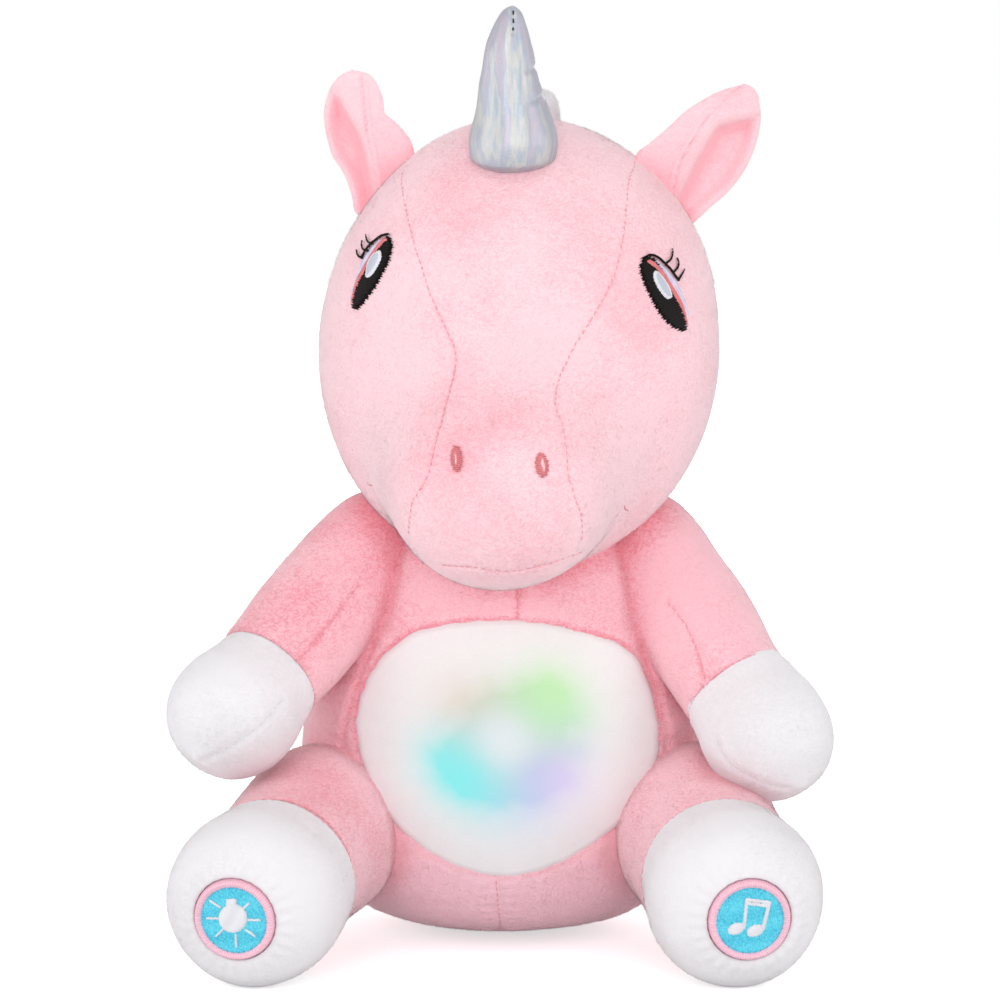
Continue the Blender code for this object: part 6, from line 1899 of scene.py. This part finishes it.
def build_mane():
    """The mane: a ridge of longer white plush down the back of the head."""
    plush = plush_look()
    rings, sides = 150, 50
    at = np.linspace(0.0, 1.0, rings)
    profile = curve_through(np.array(MANE_SHARES), 10)
    radius = np.interp(at, profile[:, 0], profile[:, 1])[1:-1]
    back = np.radians(-4 + 122 * at[1:-1])
    direction = np.stack([back * 0, np.sin(back), np.cos(back)], axis=1)
    reach = head_reach(direction)
    turn = turns(sides)
    rise, across = np.sin(turn), np.cos(turn)
    lift = 0.0100 * radius[:, None] * np.sign(rise) * np.abs(rise) ** 0.6
    aside = 0.0064 * radius[:, None] * np.sign(across) * np.abs(across) ** 0.6
    local = direction[:, None, :] * (reach[:, None] + lift)[..., None]
    local = local + np.stack([aside, aside * 0, aside * 0], axis=-1)
    skin = Skin(*ring_skin(moved(head_frame(), local)))
    skin.plump(0.014, 0.0008, 131)
    # Painted shade where the mane meets the head.
    skin.crease_and_paint_shade(head_gap(skin.points), 0.003, 0.0)
    skin.pile = np.where(head_gap(skin.points) < 0.0015, 0, skin.pile)
    mane = plush_piece("mane_plush", skin, white_material(), plush, (0, 0.2, -1), 132, 1.3, 1.3, 0.75)
    settle(mane, "head", "mane")


def build_tail():
    """The tail: a short roll of longer white plush."""
    plush = plush_look()
    shares = ((0.0, 0.0), (0.02, 0.6), (0.2, 0.85), (0.5, 1.0), (0.8, 0.8), (1.0, 0.0))
    outline = outline_of(shares, 0.046, 0.009, 70)[1:-1]
    sides = 60
    turn = turns(sides)
    root = float(torso_back(np.array(0.0), np.array(0.0155))) - 0.010
    along = np.repeat(outline[:, 0][:, None], sides, axis=1)
    radius = outline[:, 1][:, None]
    z = radius * np.sin(turn) + 0.0155 - 0.004 * (along / 0.046) ** 2
    points = np.stack([radius * np.cos(turn), root + along, z], axis=-1)
    skin = Skin(*ring_skin(points))
    skin.plump(0.010, 0.0007, 141)
    # Painted shade where the tail meets the torso.
    skin.crease_and_paint_shade(torso_gap(skin.points), 0.003, 0.0)
    tail = plush_piece("tail_plush", skin, white_material(), plush, (0, 1, -0.15), 142, 1.8, 1.3, 0.75)
    settle(tail, "torso", "tail")


# Back flap

def slab(low, high, outer, inner, columns=60, rows=76, round_by=0.0016):
    """A curved slab of the torso's back between two corners seen from behind, with rounded edges."""
    x = np.linspace(low[0], high[0], columns)
    z = np.linspace(low[1], high[1], rows)
    gx, gz = np.meshgrid(x, z, indexing="ij")
    edge = np.minimum(np.minimum(gx - low[0], high[0] - gx), np.minimum(gz - low[1], high[1] - gz))
    tuck = round_by * (1 - np.sqrt(1 - (1 - np.clip(edge / round_by, 0, 1)) ** 2))
    surface = torso_back(gx, gz)
    front = np.stack([gx, surface - outer - tuck, gz], axis=-1).reshape(-1, 3)
    inside = inner if callable(inner) else (lambda a, b: torso_back(a, b) - inner)
    behind = np.stack([gx, inside(gx, gz), gz], axis=-1).reshape(-1, 3)
    behind[:, 1] = np.minimum(behind[:, 1], front[:, 1] - 0.0003)
    index = np.arange(columns * rows).reshape(columns, rows)
    quads = grid_quads(index)[:, ::-1]
    count = columns * rows
    border = np.r_[index[:-1, 0], index[-1, :-1], index[1:, -1][::-1], index[0, 1:][::-1]]
    walls = rim_walls(border, count)
    return front, behind, np.vstack([quads, quads[:, ::-1] + count, walls[:, ::-1]])


def build_flap():
    """The back flap with its foam pad and its two strips of hook-and-loop tape."""
    plush = plush_look()
    half = FLAP_HALF_WIDTH - 0.0005
    low, high = FLAP_LOW + 0.0005, FLAP_HIGH - 0.0005
    front, behind, quads = slab((-half, low), (half, high), 0.0, FLAP_THICKNESS)
    points = np.vstack([front, behind])
    skin = Skin(points, quads, np.zeros((0, 3), int))
    edge = np.minimum(half - np.abs(points[:, 0]), np.minimum(points[:, 2] - low, high - points[:, 2]))
    outer = np.r_[np.ones(len(front)), np.zeros(len(behind))]
    ring = np.exp(-((edge - 0.0035) / 0.0008) ** 2) * outer
    skin.push(outer * (0.0004 * soft_noise(points, 0.02, 151)) * eased(0, 0.004, edge) - 0.0004 * ring)
    # Painted shade in the groove of the topstitching and at the flap's edges.
    skin.tone = np.maximum(0.5 * ring, 0.6 * np.exp(-(edge / 0.001) ** 2) * outer)
    skin.pile = outer * eased(0.0002, 0.001, edge)
    flap = plush_piece("flap_plush", skin, body_material(), plush, (0, 0, -1), 152, 0.9)
    settle(flap, "flap", "back_flap")
    foam = moulded_material("foam_pad", (0.80, 0.78, 0.72), 0.95, 0.0, 900.0, 0.2)
    lowest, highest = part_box("flap_pad")
    front, behind, quads = slab(
        (lowest.x, lowest.z), (highest.x, highest.z), FLAP_THICKNESS + 0.0004,
        lambda x, z: x * 0 + lowest.y, 40, 44)
    pad = new_piece("flap_foam", np.vstack([front, behind]), quads.tolist(), foam)
    settle(pad, "flap", "flap_pad")
    tape = moulded_material("tape_nylon", (0.84, 0.84, 0.85), 0.85, 0.0, 2600.0, 0.4)
    for name, body, gap in (("loop_strip", "flap", 0.0003), ("hook_strip", "torso", 0.0013)):
        lowest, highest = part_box(name)
        depth = FLAP_THICKNESS + gap
        front, behind, quads = slab(
            (lowest.x, lowest.z), (highest.x, highest.z), depth, depth + 0.0006, 90, 14, 0.0003)
        dots = 0.00022 * np.sin(front[:, 0] / 0.00125 * math.tau) * np.sin(front[:, 2] / 0.00125 * math.tau)
        (behind if body == "flap" else front)[:, 1] += dots
        strip = new_piece("tape_" + name, np.vstack([front, behind]), quads.tolist(), tape)
        settle(strip, body, name)


# Hard parts

def build_springs():
    """The return spring of each sole's button, copied from its solid onto a mesh of its own."""
    for side in (-1, 1):
        tag = tag_of(side)
        mesh = frame["nodes"]["button_spring_" + tag].data
        points = [tuple(vertex.co) for vertex in mesh.vertices]
        faces = [tuple(face.vertices) for face in mesh.polygons]
        spring = new_piece("return_spring_" + tag, points, faces, steel_material())
        settle(spring, "torso", "button_spring_" + tag)
        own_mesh(spring)


LAMP_COLOURS = {
    "white": (1.0, 0.98, 0.95),
    "green": (0.35, 0.95, 0.25),
    "cyan": (0.05, 0.85, 0.9),
    "violet": (0.62, 0.35, 0.95),
    "peach": (1.0, 0.62, 0.42),
}


def dress_hard_parts():
    """The finishes of the plastic, metal and electric parts that the solids keep."""
    finishes = {
        "white_plastic": moulded_material("white_moulding", (0.80, 0.80, 0.79), 0.4),
        "black_plastic": moulded_material("black_moulding", (0.03, 0.03, 0.035), 0.4),
        "steel": steel_material(),
        "board_green": moulded_material("board_lacquer", (0.03, 0.24, 0.11), 0.35),
        "cell_wrap": moulded_material("cell_sleeve", (0.10, 0.11, 0.14), 0.3),
        "lead_rubber": moulded_material("lead_sleeve", (0.66, 0.66, 0.66), 0.55),
        "speaker_paper": moulded_material("cone_paper", (0.05, 0.05, 0.055), 0.8),
        "lens_plastic": moulded_material("frosted_lens", (0.86, 0.88, 0.9), 0.3),
    }
    for name, colour in LAMP_COLOURS.items():
        finishes["led_" + name] = moulded_material("lamp_" + name, colour, 0.2, glow=1.0)
    for row in frame["record"]["subparts"]:
        piece = frame["nodes"][row["node"]]
        finish = finishes.get(row["material_slot"])
        if finish and not piece.hide_render:
            if not piece.data.materials:
                piece.data.materials.append(finish)
            for slot in piece.material_slots:
                slot.material = finish


# Stage

def build_floor(size):
    """The white floor, which gives off some light where the camera sees it, and more far from the toy."""
    n = Nodes("floor_white")
    n.put(Base_Color=(0.92, 0.92, 0.92, 1.0), Roughness=0.9, Specular_IOR_Level=0.0)
    seen = n.seen()
    reach = n.add("ShaderNodeVectorMath", operation="LENGTH")
    n.link(n.add("ShaderNodeTexCoord").outputs["Object"], reach.inputs[0])
    far = n.maths("MULTIPLY", n.maths("SUBTRACT", reach.outputs["Value"], 0.25), 1.2, clamp=True)
    bright = n.maths("ADD", n.maths("MULTIPLY", far, 0.8), 0.56)
    glow = n.add("ShaderNodeEmission", Strength=n.maths("MULTIPLY", seen, bright))
    both = n.add("ShaderNodeAddShader")
    for shader, socket in zip((n.shader, glow), both.inputs):
        n.link(shader.outputs[0], socket)
    n.link(both.outputs[0], n.tree.nodes["Material Output"].inputs["Surface"])
    half = size / 2
    points = [(-half, -half, 0), (half, -half, 0), (half, half, 0), (-half, half, 0)]
    floor = new_piece("floor", points, [(0, 1, 2, 3)], n.made)
    floor.location.z = -0.0004


def build_world(light):
    """The world: white to the camera, and a fainter light on the object."""
    n = Nodes("studio", "worlds", "Background")
    strength = n.add("ShaderNodeMapRange", Value=n.seen(), **{"To Min": light, "To Max": 1.0})
    n.put(Color=(1, 1, 1, 1), Strength=strength.outputs[0])
    bpy.context.scene.world = n.made


AIM = (0, 0, 0.14)
SENSOR_WIDTH = 36


def build_stage():
    """The white floor and world, the soft lights and the camera."""
    scene = bpy.context.scene
    look = scene.night_light_stage
    scene.view_settings.view_transform = "Standard"
    build_floor(look.floor_size)
    build_world(look.world_light)
    lights = (
        ("key", (-0.25, -1.8, 0.8), 1.2, look.key_light * 0.66),
        ("low", (0.0, -2.0, 0.10), 1.2, look.key_light * 1.45),
        ("fill_left", (-1.5, -0.5, 0.4), 1.0, look.side_light),
        ("fill_right", (1.5, -0.6, 0.5), 1.0, look.side_light),
        ("back", (0.2, 1.3, 0.9), 1.0, look.side_light * 0.8),
        ("top", (0.0, -0.4, 1.5), 1.2, look.side_light * 0.6),
    )
    for name, place, size, power in lights:
        data = bpy.data.lights.new(name, "AREA")
        data.shape = "DISK"
        data.size = size
        data.energy = power
        lamp = bpy.data.objects.new(name, data)
        lamp.location = place
        lamp.rotation_euler = (Vector(AIM) - Vector(place)).to_track_quat("-Z", "Y").to_euler()
        scene.collection.objects.link(lamp)
    spot, turn = camera_place()
    data = bpy.data.cameras.new("camera")
    data.sensor_width = SENSOR_WIDTH
    data.lens = SENSOR_WIDTH * CAMERA_DISTANCE / (METRES_PER_PIXEL * PICTURE_SIZE)
    camera = bpy.data.objects.new("camera", data)
    camera.location = spot
    camera.rotation_euler = turn.to_euler()
    scene.collection.objects.link(camera)
    scene.camera = camera


# Operators

class BuildTorso(bpy.types.Operator):
    """Build the torso's plush and the belly window"""

    bl_idname = "night_light.build_torso"
    bl_label = "Torso and window"

    def execute(self, context):
        build_torso()
        build_window()
        return {"FINISHED"}


class BuildHead(bpy.types.Operator):
    """Build the head's plush, eyes and nostrils"""

    bl_idname = "night_light.build_head"
    bl_label = "Head and face"

    def execute(self, context):
        tree = build_head()
        build_eyes(tree)
        build_nostrils(tree)
        return {"FINISHED"}


class BuildLimbs(bpy.types.Operator):
    """Build the arms, hooves, legs, feet and badges"""

    bl_idname = "night_light.build_limbs"
    bl_label = "Limbs and badges"

    def execute(self, context):
        for side in (-1, 1):
            build_arm(side)
            build_leg(side)
            build_badge(side)
        return {"FINISHED"}


class BuildCrown(bpy.types.Operator):
    """Build the horn, ears, mane and tail"""

    bl_idname = "night_light.build_crown"
    bl_label = "Horn, ears, mane and tail"

    def execute(self, context):
        build_horn()
        for side in (-1, 1):
            build_ear(side)
        build_mane()
        build_tail()
        return {"FINISHED"}


class BuildFlap(bpy.types.Operator):
    """Build the back flap and dress the hard parts"""

    bl_idname = "night_light.build_flap"
    bl_label = "Flap and hard parts"

    def execute(self, context):
        build_flap()
        build_springs()
        dress_hard_parts()
        return {"FINISHED"}


class BuildStage(bpy.types.Operator):
    """Build the floor, lights and camera"""

    bl_idname = "night_light.build_stage"
    bl_label = "Stage"

    def execute(self, context):
        build_stage()
        return {"FINISHED"}


class NightLightPanel(bpy.types.Panel):
    """The night light's settings and steps"""

    bl_idname = "VIEW3D_PT_night_light"
    bl_label = "Unicorn night light"
    bl_space_type = "VIEW_3D"
    bl_region_type = "UI"
    bl_category = "Night light"

    def draw(self, context):
        column = self.layout.column()
        scene = context.scene
        for group in (scene.night_light_plush, scene.night_light_colours, scene.night_light_stage):
            for name in group.bl_rna.properties.keys():
                if name not in ("rna_type", "name"):
                    column.prop(group, name)
        for operator in OPERATORS:
            column.operator(operator.bl_idname)


OPERATORS = (BuildStage, BuildTorso, BuildHead, BuildLimbs, BuildCrown, BuildFlap)
GROUPS = (PlushLook, ColourLook, StageLook)


def register():
    """Adds the settings, steps and panel to Blender."""
    for made in GROUPS + OPERATORS + (NightLightPanel,):
        bpy.utils.register_class(made)
    bpy.types.Scene.night_light_plush = bpy.props.PointerProperty(type=PlushLook)
    bpy.types.Scene.night_light_colours = bpy.props.PointerProperty(type=ColourLook)
    bpy.types.Scene.night_light_stage = bpy.props.PointerProperty(type=StageLook)


def unregister():
    """Takes the settings, steps and panel away again."""
    del bpy.types.Scene.night_light_stage
    del bpy.types.Scene.night_light_colours
    del bpy.types.Scene.night_light_plush
    for made in reversed(GROUPS + OPERATORS + (NightLightPanel,)):
        bpy.utils.unregister_class(made)


def main():
    """Builds every piece in order."""
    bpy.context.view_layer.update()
    register()
    bpy.ops.night_light.build_stage()
    bpy.ops.night_light.build_torso()
    bpy.ops.night_light.build_head()
    bpy.ops.night_light.build_limbs()
    bpy.ops.night_light.build_crown()
    bpy.ops.night_light.build_flap()


if __name__ == "__main__":
    main()
